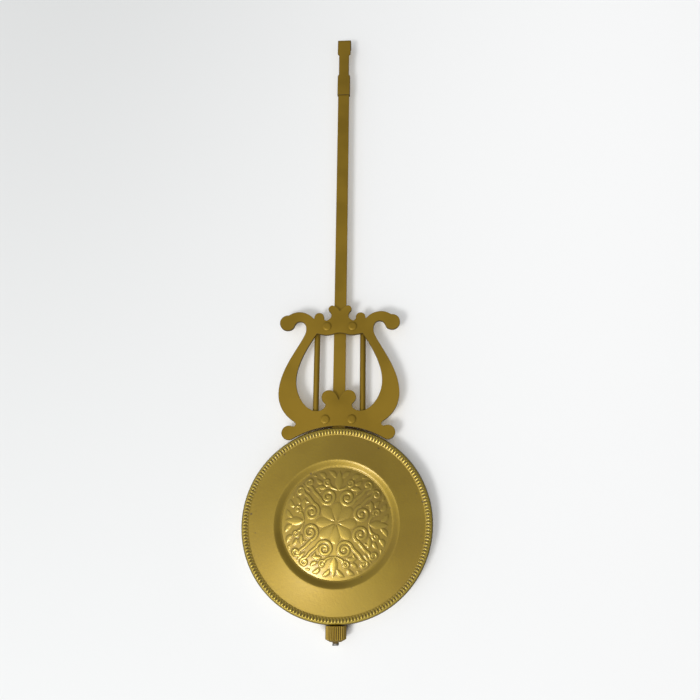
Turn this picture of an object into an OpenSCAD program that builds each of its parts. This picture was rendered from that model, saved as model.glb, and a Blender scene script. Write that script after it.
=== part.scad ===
// Lyre pendulum of a small clock: a folded suspension hook on a flat rod, a
// stamped lyre with two strings, and a pressed disc bob that rides on a rating
// nut. Millimetres. The pendulum hangs: +Z is up, the face looks along -Y, and
// the origin is the axis of the hook's bend, where the pendulum is hung.

/* [Pendulum] */
// Suspension axis to the centre of the bob
pendulum_len = 252.2; // [230:0.1:280]

/* [Hook] */
// Thickness of the folded strip
strip_t = 0.4; // [0.3:0.05:0.6]
// Inside radius of the bend that hangs on the clock
hook_in_r = 1.3; // [1.1:0.05:1.6]
// Width of the strip at the bend
hook_w = 6.9; // [5.6:0.1:8]
// Straight front of the hook, from the bend's axis to the shoulder
hook_front_h = 7.8; // [6:0.1:10]
// Height of each chamfered shoulder beside the neck
shoulder_h = 0.9; // [0.7:0.1:2]
// Width of the neck
neck_w = 5.3; // [4:0.1:5.5]
// Height of the neck between its shoulders
neck_h = 11.7; // [6:0.1:16]
// Height of the sleeve that is crimped on the rod
sleeve_h = 11.6; // [8:0.1:18]
// Gap between the two flaps behind the rod
sleeve_seam = 1.0; // [0.4:0.1:2]
// Length of the tongue behind the hook
tongue_h = 5.8; // [4:0.1:7]
// Width of the tongue at its lower end
tongue_end_w = 4.6; // [3:0.1:5.5]

/* [Rod] */
// Width of the flat rod
rod_w = 5.7; // [5.2:0.1:6.5]
// Thickness of the flat rod
rod_t = 1.2; // [1:0.05:1.5]
// From the bob's lower rim up to the rod's lower end
rod_end_inset = 20.9; // [19.5:0.1:22]

/* [Lyre] */
// Width of the lyre over its arms
lyre_w = 56.3; // [52:0.1:62]
// Height of the lyre from its seat to the upper palmette's tops
lyre_h = 58.4; // [54:0.1:66]
// Thickness of the stamped plate
plate_t = 1.5; // [1:0.1:2]
// Gap between the bob's rim and the seat above it
seat_gap = 0.8; // [0.7:0.05:2]
// How much tighter than the bob's rim the seat is curved
seat_tighter = 1.2; // [0:0.1:3]
// Diameter of the two strings
string_d = 2.8; // [1.6:0.1:3.2]
// Distance between the axes of the strings
string_gap = 21.8; // [20:0.1:23]
// Distance between the two rivets of a stay
rivet_gap = 12.2; // [11.6:0.1:13]
// Diameter of the rivets' round heads
rivet_head_d = 4.2; // [3:0.1:4.6]
// Height of the rivets' heads
rivet_head_h = 0.55; // [0.3:0.05:0.8]
// Diameter of the rivets' shanks
rivet_d = 2.0; // [1.4:0.1:2.4]
// Sheet of the stays behind the lyre
stay_t = 0.8; // [0.5:0.1:1]
// Height of the stays
stay_h = 5.0; // [4:0.1:5.2]

/* [Bob] */
// Diameter of the bob
bob_d = 85; // [83:0.5:95]
// Sheet of the pressed shells
sheet_t = 0.7; // [0.5:0.05:0.8]
// Crown of the middle above the rod's mid plane
dome_front = 4.6; // [4.2:0.1:6]
// Edge of the crown above the rod's mid plane
valley_front = 2.3; // [2.1:0.05:2.8]
// Diameter of the crowned middle
dome_d = 48.6; // [46:0.2:50]
// Diameter of the raised ring round the middle
ring_d = 55.2; // [53:0.2:58]
// Top of the raised ring above the rod's mid plane
ring_front = 4.2; // [3.6:0.1:5]
// Radial width of the beaded rim
bead_w = 3.1; // [2.4:0.1:3.6]
// Top of the beaded rim above the rod's mid plane
bead_front = 2.75; // [2.5:0.05:3.2]
// Depth of the bob behind the rod's mid plane
bob_back_depth = 5.5; // [5.2:0.1:7]
// Width of the lip that is turned in over the back cover
crimp_w = 2.1; // [1.2:0.1:3]

/* [Denticles] */
// Number of denticles round the rim
denticle_count = 180; // [90:6:200]
// Width of a denticle at its foot
denticle_w = 1.0; // [0.6:0.05:1.1]
// Height of a denticle
denticle_h = 0.4; // [0.2:0.05:0.6]

/* [Inside the bob] */
// Diameter of the two slugs
weight_d = 24; // [18:0.5:26]
// Thickness of the slugs
weight_t = 5.0; // [3:0.1:5.2]
// Diameter of the slugs' rivets
weight_rivet_d = 3; // [2:0.1:4]
// Height of a guide along the rod
guide_h = 6; // [4:0.1:6.5]
// Sheet of the guides
guide_t = 0.6; // [0.4:0.05:0.7]
// From the bob's upper rim down to the middle of the upper guide
upper_guide_inset = 13.5; // [11.5:0.1:13.9]
// From the rod's lower end up to the middle of the lower guide
lower_guide_up = 22.6; // [21.6:0.1:23]
// Width of each guide foot
guide_foot_w = 4.0; // [3.6:0.1:4.6]
// Diameter of the small rivets in the back cover
back_rivet_d = 1.6; // [1.2:0.1:2]
// Thickness of the friction spring
spring_t = 0.3; // [0.2:0.05:0.4]
// Width of the friction spring
spring_w = 4.5; // [3:0.1:5]
// Chord of the spring's bow
spring_chord = 20; // [16:0.5:20]

/* [Nut and stud] */
// Outer diameter of the stud's thread
stud_d = 3; // [2.5:0.1:3.2]
// How far the stud reaches below the bob at rest
stud_below = 8.3; // [7.5:0.1:10]
// Thickness of the stud's flattened tongue
stud_tongue_t = 1.1; // [0.8:0.1:1.4]
// Width of the tongue
stud_tongue_w = 4.2; // [3.6:0.1:5]
// Length of the tongue that overlaps the rod
stud_lap = 11; // [9:0.1:11.5]
// Diameter of the two rivets in the tongue
stud_rivet_d = 1.4; // [1:0.1:1.8]
// Diameter of the rating nut
nut_d = 9.0; // [7:0.1:9.4]
// Height of the knurled band
nut_h = 5.25; // [4:0.05:6]
// Number of flutes round the nut
nut_flutes = 28; // [16:2:40]
// Depth of the flutes
flute_depth = 0.3; // [0.15:0.05:0.5]
// Diameter of the collar that bears on the bob
collar_d = 5.4; // [4.6:0.1:6.5]
// Height of the collar
collar_h = 0.4; // [0.2:0.05:0.8]
// Height of the chamfer under the knurl
nut_cone_h = 1.0; // [0.5:0.1:1.5]

/* [Fits] */
// Running clearance between the rod and its guides, and the stud and its nut
run_gap = 0.05; // [0.02:0.01:0.1]
// Clearance of the rod and stud in the bob's rim
rim_gap = 0.15; // [0.1:0.05:0.3]

/* [Hidden] */

// Planes across the thickness: the strip and the lyre lie on the rod's face
rod_face_y = -hook_in_r;
rod_mid_y = rod_face_y + rod_t / 2;
rod_back_y = rod_face_y + rod_t;

// Heights along the rod
neck_top_z = -hook_front_h - shoulder_h;
neck_bottom_z = neck_top_z - neck_h;
sleeve_top_z = neck_bottom_z - shoulder_h;
sleeve_bottom_z = sleeve_top_z - sleeve_h;
rod_top_z = sleeve_top_z - 0.5;
bob_r = bob_d / 2;
rod_bottom_z = -pendulum_len - bob_r + rod_end_inset;
seat_z = -pendulum_len + bob_r + seat_gap;
seat_r = bob_r - seat_tighter;

// Width and height at which the lyre's outline is drawn, and its scale
lyre_drawn_w = 56.3;
lyre_drawn_h = 58.4;
lyre_sx = lyre_w / lyre_drawn_w;
lyre_sz = lyre_h / lyre_drawn_h;

// The stays: heights above the seat
upper_stay_z = 47.9 * lyre_sz;
lower_stay_z = 3.1 * lyre_sz;
string_r = string_d / 2;
string_y = rod_face_y + string_r;
stay_flange = 1.3;
stay_half_w = string_gap / 2 + string_r + stay_flange;
string_end_gap = 0.4;

// The bob's shells: radii
skirt_in_r = bob_r - sheet_t;
bead_in_r = bob_r - bead_w;
bead_flat_in_r = bead_in_r + 0.8;
bead_flat_out_r = bob_r - 1.1;
skirt_front = -0.1;
dome_r = dome_d / 2;
ring_r = ring_d / 2;
upper_guide_z = bob_r - upper_guide_inset;
lower_guide_z = rod_end_inset - bob_r + lower_guide_up;
crimp_t = 0.5;
cover_back = -bob_back_depth + crimp_t;
cover_front = cover_back + sheet_t;
flange_front = -1.0;

// The slugs lie halfway between the guides' feet and the skirt
guide_slot_half = rod_w / 2 + run_gap;
guide_foot_out = guide_slot_half + guide_foot_w;
weight_x = (guide_foot_out + skirt_in_r) / 2;

// The stud and nut share one axis, in the middle of the tongue
stud_y = rod_back_y + stud_tongue_t / 2;
stud_r = stud_d / 2;
stud_top_z = rod_bottom_z - 2;
stud_bottom_z = -pendulum_len - bob_r - stud_below;
nut_r = nut_d / 2;
nut_top_z = -pendulum_len - bob_r - run_gap;

// Fineness of the curves
round_fn = 96;
small_fn = 48;

// Points of a circular arc from angle a to angle b
function arc(c, r, a, b, n = 14) =
    [for (i = [0 : n]) let (t = a + (b - a) * i / n) c + r * [cos(t), sin(t)]];

// Points of a cubic curve, without its first point
function curve(p, q, r, s, n = 12) =
    [for (i = [1 : n]) let (t = i / n, u = 1 - t)
        u * u * u * p + 3 * u * u * t * q + 3 * u * t * t * r + t * t * t * s];

// A list of points mirrored to the left, from the last to the first
function to_left(pts) =
    [for (i = [len(pts) - 1 : -1 : 0]) [-pts[i][0], pts[i][1]]];

// The outline's points at the size that is asked for
function fitted(pts) = [for (p = pts) [p[0] * lyre_sx, p[1] * lyre_sz]];

// The rounded feet: each one's centre and radius, beside the seat's circle
foot_r = 3.3 * lyre_sx;
foot_x = 22.8 * lyre_sx;
foot_turn = acos(foot_x / (seat_r + foot_r));
foot = [foot_x, (seat_r + foot_r) * sin(foot_turn) - seat_r];

// Everything drawn on the bob's axis is turned to face the viewer
module on_bob_axis() {
    translate([0, rod_mid_y, -pendulum_len]) rotate([90, 0, 0]) children();
}

// Something flat, drawn in X and Z, that lies from y_front to y_back
module flat_part(y_front, y_back) {
    translate([0, y_back, 0]) rotate([90, 0, 0])
        linear_extrude(y_back - y_front) children();
}

// A rivet along Y: a low round head in front, a shank and a tail behind
module rivet(d, head_d, head_h, y_head, y_tail) {
    translate([0, y_head, 0]) rotate([90, 0, 0])
        cylinder(h = head_h, d1 = head_d, d2 = head_d - head_h, $fn = small_fn);
    translate([0, y_tail, 0]) rotate([90, 0, 0])
        cylinder(h = y_tail - y_head, d = d, $fn = small_fn);
    translate([0, y_tail + head_h, 0]) rotate([90, 0, 0])
        cylinder(h = head_h, d1 = head_d * 0.8 - head_h, d2 = head_d * 0.8, $fn = small_fn);
}

// Hook: the front strip, the bend, the tongue and the crimped sleeve
module suspension_hook() {
    sleeve_w = rod_w + 2 * strip_t;
    out_r = hook_in_r + strip_t;
    right = [[hook_w / 2, 0], [hook_w / 2, -hook_front_h],
             [neck_w / 2, neck_top_z], [neck_w / 2, neck_bottom_z],
             [sleeve_w / 2, sleeve_top_z], [sleeve_w / 2, sleeve_bottom_z]];
    color("darkgoldenrod") {
        flat_part(-out_r, -hook_in_r) polygon(concat(right, to_left(right)));
        rotate([90, 0, 90]) linear_extrude(hook_w, center = true) difference() {
            circle(r = out_r, $fn = small_fn);
            circle(r = hook_in_r, $fn = small_fn);
            translate([-out_r, -2 * out_r]) square(2 * out_r);
        }
        flat_part(hook_in_r, out_r)
            polygon([[-hook_w / 2, 0], [-hook_w / 2, -tongue_h / 2],
                     [-tongue_end_w / 2, -tongue_h], [tongue_end_w / 2, -tongue_h],
                     [hook_w / 2, -tongue_h / 2], [hook_w / 2, 0]]);
        translate([0, 0, sleeve_bottom_z]) linear_extrude(sleeve_h) difference() {
            translate([-sleeve_w / 2, rod_face_y - strip_t])
                square([sleeve_w, rod_t + 2 * strip_t]);
            translate([-rod_w / 2, rod_face_y]) square([rod_w, rod_t]);
            translate([-sleeve_seam / 2, rod_back_y - strip_t])
                square([sleeve_seam, 3 * strip_t]);
        }
    }
}

// Rod: one flat strip with the two holes for the stud's rivets
module pendulum_rod() {
    color("darkgoldenrod") difference() {
        translate([-rod_w / 2, rod_face_y, rod_bottom_z])
            cube([rod_w, rod_t, rod_top_z - rod_bottom_z]);
        stud_rivet_holes();
    }
}

// The lyre's outer edge on the right, from the upper notch to the seat,
// in millimetres above the seat. Lobes and scroll ends are true arcs.
function lyre_outer() =
    let (palmette = [3.75, 56.55], bump = [9.9, 52.4], scroll = [24.9, 49.85], scroll_r = 3.8,
         bump_end = bump + 2.3 * [cos(8), sin(8)], waist = fitted([[20.5, 2.2]])[0])
    concat(fitted(concat(
        [[0, 55.5]],
        curve([0, 55.5], [0.7, 56.7], [1.5, 57.6], palmette + 1.8 * [cos(125), sin(125)]),
        arc(palmette, 1.8, 118, -40),
        curve(palmette + 1.8 * [cos(40), -sin(40)], [4.4, 54.7], [3.4, 53.2], [4.9, 51.6]),
        curve([4.9, 51.6], [5.9, 50.5], [7.0, 50.4], bump + 2.3 * [cos(196), sin(196)]),
        arc(bump, 2.3, 186, 12),
        curve(bump_end, [12.2, 51.6], [12.5, 51.8], [12.7, 52.0], 4),
        curve([12.7, 52.0], [14.5, 54.0], [17.0, 55.2], [19.6, 55.2]),
        curve([19.6, 55.2], [21.6, 55.2], [22.9, 54.6], scroll + scroll_r * [cos(96), sin(96)]),
        arc(scroll, scroll_r, 88, -140, 24),
        curve(scroll + scroll_r * [cos(140), -sin(140)], [21.4, 49.3], [20.6, 50.4], [18.9, 50.4]),
        curve([18.9, 50.4], [17.0, 50.4], [15.5, 48.3], [16.2, 44.9]),
        curve([16.2, 44.9], [17.8, 39.2], [28.15, 27.8], [28.15, 15.6], 20),
        curve([28.15, 15.6], [28.15, 8.4], [23.6, 3.9], [20.5, 2.2], 14))),
        curve(waist, waist + foot_r * [-0.33, -0.21], foot + foot_r * [-1.06, 0.84],
              foot + foot_r * [cos(118), sin(118)], 8),
        arc(foot, foot_r, 108, foot_turn - 178, 22),
        arc([0, -seat_r], seat_r, foot_turn, 90, 18));

// The edge of the opening on the right, from the bridge to the lower notch
function lyre_inner() =
    let (lobe = [4.6, 13.4])
    concat(
        [[0, 44.65]],
        curve([0, 44.65], [2.4, 44.65], [3.6, 43.55], [6.0, 43.55], 8),
        curve([6.0, 43.55], [7.8, 43.55], [9.2, 44.1], [10.9, 44.3], 6),
        curve([10.9, 44.3], [14.0, 39.5], [20.1, 30.0], [20.1, 21.2], 20),
        curve([20.1, 21.2], [20.1, 13.5], [14.6, 7.0], [10.4, 7.0], 16),
        curve([10.4, 7.0], [7.8, 7.0], [6.6, 8.0], [6.1, 9.4], 8),
        curve([6.1, 9.4], [6.0, 10.0], [6.3, 10.5], lobe + 3.4 * [cos(48), -sin(48)], 4),
        arc(lobe, 3.4, -42, 128, 22),
        curve(lobe + 3.4 * [cos(128), sin(128)], [1.6, 15.5], [0.6, 13.9], [0, 12.2], 8));

// Lyre: one stamped plate, with four rivet holes
module lyre_frame() {
    color("goldenrod") translate([0, 0, seat_z])
        flat_part(rod_face_y - plate_t, rod_face_y) difference() {
            polygon(concat(lyre_outer(), to_left(lyre_outer())));
            polygon(fitted(concat(lyre_inner(), to_left(lyre_inner()))));
            for (x = [-1, 1], z = [upper_stay_z, lower_stay_z])
                translate([x * rivet_gap / 2, z]) circle(d = rivet_d, $fn = small_fn);
        }
}

// One string, held by its ends in the saddles of both stays
module string_rod(side) {
    color("darkgoldenrod")
        translate([side * string_gap / 2, string_y,
                   seat_z + lower_stay_z - stay_h / 2 + string_end_gap])
            cylinder(h = upper_stay_z - lower_stay_z + stay_h - 2 * string_end_gap,
                     r = string_r, $fn = small_fn);
}

// A stay: a strap joggled round the rod and saddled over both strings
module stay(z) {
    rod_half = rod_w / 2;
    color("darkgoldenrod") difference() {
        translate([0, 0, seat_z + z - stay_h / 2]) linear_extrude(stay_h) difference() {
            union() {
                translate([-stay_half_w, rod_face_y]) square([2 * stay_half_w, stay_t]);
                translate([-rod_half - stay_t, rod_face_y])
                    square([rod_w + 2 * stay_t, rod_t + stay_t]);
                for (x = [-1, 1]) translate([x * string_gap / 2, string_y])
                    circle(r = string_r + stay_t, $fn = small_fn);
            }
            translate([-rod_half, rod_face_y]) square([rod_w, rod_t]);
            for (x = [-1, 1]) translate([x * string_gap / 2, string_y]) {
                circle(r = string_r, $fn = small_fn);
                translate([-string_r, -2 * string_r]) square([string_d, 2 * string_r]);
            }
            translate([-2 * stay_half_w, rod_face_y - 2 * string_d])
                square([4 * stay_half_w, 2 * string_d]);
        }
        for (x = [-1, 1])
            translate([x * rivet_gap / 2, rod_face_y + 2 * stay_t, seat_z + z])
                rotate([90, 0, 0]) cylinder(h = 3 * stay_t, d = rivet_d, $fn = small_fn);
    }
}

// The two rivets of a stay
module stay_rivets(z) {
    color("goldenrod") for (x = [-1, 1])
        translate([x * rivet_gap / 2, 0, seat_z + z])
            rivet(rivet_d, rivet_head_d, rivet_head_h, rod_face_y - plate_t,
                  rod_face_y + stay_t);
}

// The front shell's section: radius, and height towards the viewer
function dome_curve(drop) =
    let (rise = dome_front - valley_front,
         r = (dome_r * dome_r + rise * rise) / (2 * rise),
         half = asin(dome_r / r))
    [for (i = [0 : 8]) let (t = half * i / 8) [r * sin(t), dome_front - r + r * cos(t) - drop]];

module front_section() {
    ring_flat = 0.6;
    outer = concat(dome_curve(0),
        [[dome_r + 0.8, valley_front], [ring_r - ring_flat, ring_front - 0.2],
         [ring_r, ring_front], [ring_r + ring_flat, ring_front - 0.05],
         [bead_in_r - 0.4, valley_front], [bead_in_r, valley_front],
         [bead_flat_in_r, bead_front], [bead_flat_out_r, bead_front],
         [bob_r - 0.5, bead_front - 0.7], [bob_r, skirt_front],
         [bob_r, -bob_back_depth], [bob_r - crimp_w, -bob_back_depth],
         [bob_r - crimp_w, cover_back], [skirt_in_r, cover_back]]);
    inner = concat([[skirt_in_r, skirt_front - 0.1],
         [bob_r - 0.5 - sheet_t, bead_front - 0.5 - sheet_t],
         [bead_flat_out_r - 0.4, bead_front - sheet_t],
         [bead_flat_in_r + 0.1, bead_front - sheet_t],
         [bead_in_r, valley_front - sheet_t], [bead_in_r - 0.5, valley_front - sheet_t],
         [ring_r + ring_flat, ring_front - 0.1 - sheet_t],
         [ring_r, ring_front - sheet_t],
         [dome_r + 1.0, valley_front - sheet_t]],
        [for (i = [8 : -1 : 0]) dome_curve(sheet_t)[i]]);
    polygon(concat(outer, inner));
}

// The denticles: low bars across the bead that narrow towards their tops
module denticles() {
    foot = bead_front - 0.35;
    for (i = [0 : denticle_count - 1]) rotate([0, 0, 360 * (i + 0.5) / denticle_count])
        translate([bead_in_r + 0.55, 0, 0]) rotate([90, 0, 90])
            linear_extrude(bead_w - 1.2)
                polygon([[-denticle_w / 2, foot], [denticle_w / 2, foot],
                         [denticle_w / 4, bead_front + denticle_h],
                         [-denticle_w / 4, bead_front + denticle_h]]);
}

// Slot for the rod at the top of a rim, and hole for the stud at its bottom
module rim_openings() {
    translate([-rod_w / 2 - rim_gap, rod_face_y - rim_gap, -pendulum_len + bob_r - 4 * sheet_t])
        cube([rod_w + 2 * rim_gap, rod_t + 2 * rim_gap, 8 * sheet_t]);
    translate([0, stud_y, -pendulum_len - bob_r - 4 * sheet_t])
        cylinder(h = 8 * sheet_t, r = stud_r + rim_gap, $fn = small_fn);
}

// Front shell of the bob: crown, ring, dished band, beaded rim and skirt
module bob_front() {
    color("gold") difference() {
        on_bob_axis() {
            rotate_extrude($fn = round_fn) front_section();
            denticles();
        }
        rim_openings();
    }
}

// Places of the small rivets in the back cover, above the bob's centre
guide_rivet_x = guide_slot_half + guide_t + (guide_foot_w - guide_t) / 2;
spring_foot_z = upper_guide_z + 1.2;

// Back cover: a shallow pan held by the turned-in lip of the front shell
module bob_back() {
    color("goldenrod") difference() {
        on_bob_axis() rotate_extrude($fn = round_fn)
            polygon([[0, cover_back], [skirt_in_r, cover_back], [skirt_in_r, flange_front],
                     [skirt_in_r - sheet_t, flange_front], [skirt_in_r - sheet_t, cover_front],
                     [0, cover_front]]);
        rim_openings();
        on_bob_axis() {
            for (x = [-1, 1], z = [upper_guide_z, lower_guide_z])
                translate([x * guide_rivet_x, z, -bob_back_depth - sheet_t])
                    cylinder(h = 3 * sheet_t, d = back_rivet_d, $fn = small_fn);
            translate([0, spring_foot_z, -bob_back_depth - sheet_t])
                cylinder(h = 3 * sheet_t, d = back_rivet_d, $fn = small_fn);
            for (x = [-1, 1])
                translate([x * weight_x, 0, -bob_back_depth - sheet_t])
                    cylinder(h = 3 * sheet_t, d = weight_rivet_d, $fn = small_fn);
        }
    }
}

// A slug that gives the bob its weight, chamfered, bored for its rivet
module slug(side) {
    edge = 0.6;
    color("dimgray") on_bob_axis() translate([side * weight_x, 0, cover_front])
        rotate_extrude($fn = round_fn)
            polygon([[weight_rivet_d / 2, 0], [weight_d / 2, 0], [weight_d / 2, weight_t - edge],
                     [weight_d / 2 - edge, weight_t], [weight_rivet_d / 2, weight_t]]);
}

// Heads of the rivets stand on these heights along the bob's axis
module axial_rivet(d, h_tail, h_head, head_t) {
    translate([0, 0, h_tail - head_t])
        cylinder(h = head_t, d1 = 2 * d - head_t, d2 = 2 * d, $fn = small_fn);
    translate([0, 0, h_tail]) cylinder(h = h_head - h_tail, d = d, $fn = small_fn);
    translate([0, 0, h_head])
        cylinder(h = head_t, d1 = 2 * d, d2 = 2 * d - head_t, $fn = small_fn);
}

module weight_rivets() {
    color("silver") on_bob_axis() for (x = [-1, 1])
        translate([x * weight_x, 0, 0])
            axial_rivet(weight_rivet_d, cover_back, cover_front + weight_t, crimp_t - 0.1);
}

// A guide: a bridge of sheet over the rod, with two feet on the cover
module guide(z) {
    front = rod_t / 2 + run_gap;
    color("silver") on_bob_axis() difference() {
        translate([0, z + guide_h / 2, 0]) rotate([90, 0, 0]) linear_extrude(guide_h) {
            difference() {
                translate([-guide_slot_half - guide_t, cover_front])
                    square([2 * (guide_slot_half + guide_t), front + guide_t - cover_front]);
                translate([-guide_slot_half, cover_front - 1])
                    square([2 * guide_slot_half, front - cover_front + 1]);
            }
            for (x = [guide_slot_half, -guide_foot_out]) translate([x, cover_front])
                square([guide_foot_w, guide_t]);
        }
        for (x = [-1, 1]) translate([x * guide_rivet_x, z, cover_front - 1])
            cylinder(h = 4, d = back_rivet_d, $fn = small_fn);
    }
}

module guide_rivets() {
    head_t = crimp_t - 0.1;
    color("silver") on_bob_axis() {
        for (x = [-1, 1], z = [upper_guide_z, lower_guide_z])
            translate([x * guide_rivet_x, z, 0])
                axial_rivet(back_rivet_d, cover_back, cover_front + guide_t, head_t);
        translate([0, spring_foot_z, 0])
            axial_rivet(back_rivet_d, cover_back, cover_front + spring_t, head_t);
    }
}

// Friction spring: a bowed leaf that presses the rod against its guides
module friction_spring() {
    crest = -rod_t / 2 - run_gap;
    rise = crest - cover_front - spring_t;
    bow_r = (spring_chord * spring_chord / 4 + rise * rise) / (2 * rise);
    bow_z = (upper_guide_z + lower_guide_z) / 2;
    foot_end = spring_foot_z + back_rivet_d + 0.4;
    color("lightsteelblue") on_bob_axis() difference() {
        rotate([0, -90, 0]) linear_extrude(spring_w, center = true) {
            intersection() {
                translate([crest - bow_r, bow_z]) difference() {
                    circle(r = bow_r, $fn = round_fn);
                    circle(r = bow_r - spring_t, $fn = round_fn);
                }
                translate([cover_front, bow_z - spring_chord])
                    square([crest - cover_front, 2 * spring_chord]);
            }
            translate([cover_front, bow_z + spring_chord / 2 - 1])
                square([spring_t, foot_end - bow_z - spring_chord / 2 + 1]);
        }
        translate([0, spring_foot_z, cover_front - 1])
            cylinder(h = 3, d = back_rivet_d, $fn = small_fn);
    }
}

// Places of the tongue's two rivets, as heights above the rod's lower end
stud_rivet_z = [stud_lap * 0.25, stud_lap * 0.75];

module stud_rivet_holes() {
    for (z = stud_rivet_z)
        translate([0, rod_back_y + stud_tongue_t + 1, rod_bottom_z + z]) rotate([90, 0, 0])
            cylinder(h = rod_t + stud_tongue_t + 2, d = stud_rivet_d, $fn = small_fn);
}

// Stud: a threaded shank with a flattened tongue riveted behind the rod
module threaded_stud() {
    color("gray") difference() {
        union() {
            translate([0, stud_y, stud_bottom_z])
                cylinder(h = 0.5, r1 = stud_r - 0.4, r2 = stud_r, $fn = small_fn);
            translate([0, stud_y, stud_bottom_z + 0.5])
                cylinder(h = stud_top_z - stud_bottom_z - 0.5, r = stud_r, $fn = small_fn);
            translate([-stud_tongue_w / 2, rod_back_y, stud_top_z - 1])
                cube([stud_tongue_w, stud_tongue_t, rod_bottom_z + stud_lap - stud_top_z + 1]);
        }
        stud_rivet_holes();
    }
}

module stud_rivets() {
    color("silver") for (z = stud_rivet_z) translate([0, 0, rod_bottom_z + z])
        rivet(stud_rivet_d, 1.6 * stud_rivet_d, 0.3, rod_face_y, rod_back_y + stud_tongue_t);
}

// Rating nut: a fluted band with a chamfer below and a bearing collar on top
module rating_nut() {
    band_top = nut_top_z - collar_h;
    band_bottom = band_top - nut_h;
    edge = 0.25;
    crest = 0.1;
    end_r = collar_d / 2 - 0.2;
    color("darkgoldenrod") translate([0, stud_y, 0]) difference() {
        union() {
            intersection() {
                translate([0, 0, band_bottom - nut_cone_h])
                    linear_extrude(nut_h + nut_cone_h)
                        polygon([for (i = [0 : 2 * nut_flutes - 1])
                            let (a = 180 * i / nut_flutes,
                                 r = i % 2 == 0 ? nut_r + crest : nut_r - flute_depth)
                            r * [cos(a), sin(a)]]);
                translate([0, 0, band_bottom - nut_cone_h]) rotate_extrude($fn = round_fn)
                    polygon([[0, 0], [end_r, 0], [nut_r, nut_cone_h],
                             [nut_r, nut_cone_h + nut_h - edge],
                             [nut_r - edge, nut_cone_h + nut_h], [0, nut_cone_h + nut_h]]);
            }
            translate([0, 0, band_top - 0.2])
                cylinder(h = collar_h + 0.2, d = collar_d, $fn = small_fn);
        }
        translate([0, 0, band_bottom - nut_cone_h - 1])
            cylinder(h = nut_h + nut_cone_h + collar_h + 2, r = stud_r + run_gap, $fn = small_fn);
    }
}

suspension_hook();
pendulum_rod();
lyre_frame();
string_rod(-1);  // left_string
string_rod(1);  // right_string
stay(upper_stay_z);  // upper_stay
stay(lower_stay_z);  // lower_stay
stay_rivets(upper_stay_z);  // upper_rivets
stay_rivets(lower_stay_z);  // lower_rivets
bob_front();
bob_back();
slug(-1);  // left_weight
slug(1);  // right_weight
weight_rivets();
guide(upper_guide_z);  // upper_guide
guide(lower_guide_z);  // lower_guide
guide_rivets();
friction_spring();
threaded_stud();
stud_rivets();
rating_nut();
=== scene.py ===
# %% [markdown]
# # A lyre pendulum for a small wall clock
# The real object lies on a pale table: a folded strip that hooks over the clock's suspension
# spring, a flat rod, a stamped lyre with two strings, and a pressed disc bob that rides on a
# fluted nut. Turning the nut lifts or lowers the bob, which sets the clock's rate.
# The solid model gives every size and place. This lesson gives each part its finish: eased
# edges, the beaded rim, the chased medallion, the thread and the sprayed gold lacquer.

import math

import bmesh
import bpy
import numpy as np
from mathutils import Matrix, Vector


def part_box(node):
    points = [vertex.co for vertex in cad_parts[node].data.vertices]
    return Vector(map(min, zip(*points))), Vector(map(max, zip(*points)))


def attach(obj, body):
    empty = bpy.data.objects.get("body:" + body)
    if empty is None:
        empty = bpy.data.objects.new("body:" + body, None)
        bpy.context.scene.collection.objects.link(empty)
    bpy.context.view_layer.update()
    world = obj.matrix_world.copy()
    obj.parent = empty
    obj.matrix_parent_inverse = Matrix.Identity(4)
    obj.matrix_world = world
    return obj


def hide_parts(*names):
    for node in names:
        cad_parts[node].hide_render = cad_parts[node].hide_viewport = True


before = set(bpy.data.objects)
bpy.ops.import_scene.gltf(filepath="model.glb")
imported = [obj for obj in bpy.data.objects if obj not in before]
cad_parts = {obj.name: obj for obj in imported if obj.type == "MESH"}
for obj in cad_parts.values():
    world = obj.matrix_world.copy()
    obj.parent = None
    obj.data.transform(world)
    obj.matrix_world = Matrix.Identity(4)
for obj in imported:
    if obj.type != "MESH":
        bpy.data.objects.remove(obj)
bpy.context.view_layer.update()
MM = 0.001

# %% [markdown]
# ## Where things are
# Sizes are read from the solid model's own boxes, so a piece can't drift from it. The bob's
# heights are counted from the middle of the rod's thickness towards the viewer, because that is
# how a pressed shell is drawn: as a radius and a height.

# %% Measure the places that the pieces share
rod_low, rod_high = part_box("pendulum_rod")
bob_low, bob_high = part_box("bob_front")
nut_low, nut_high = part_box("rating_nut")
stud_low, stud_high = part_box("threaded_stud")
ROD_MID_Y = (rod_low.y + rod_high.y) / 2
BOB_CENTRE = Vector(((bob_low.x + bob_high.x) / 2, ROD_MID_Y, (bob_low.z + bob_high.z) / 2))
BOB_RADIUS = (bob_high.x - bob_low.x) / 2 / MM
NUT_AXIS = Vector((0, (nut_low.y + nut_high.y) / 2, 0))
print("bob centre, mm:", [round(c / MM, 2) for c in BOB_CENTRE], "radius", round(BOB_RADIUS, 2))

# %% [markdown]
# ## The camera
# The photo was taken by a phone held a third of a metre above the table, nearly over the bob, so
# the rod runs away from it and narrows. A camera fitted to the round rim and the straight rod
# gives this place and turn. It comes first, because every later choice is judged through it. A
# small helper puts this and every later object in the scene.

# %% Set the camera
def in_scene(name, data):
    """A new object of the scene, at the origin."""
    made = bpy.data.objects.new(name, data)
    bpy.context.scene.collection.objects.link(made)
    return made


CAMERA_PLACE = Vector((33.8, -326.5, -264.5)) * MM
CAMERA_RIGHT = Vector((0.99948, 0.03201, -0.00439))
CAMERA_DOWN = Vector((-0.01291, 0.2712, -0.96244))
CAMERA_AHEAD = Vector((-0.02962, 0.96199, 0.27147))

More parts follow.
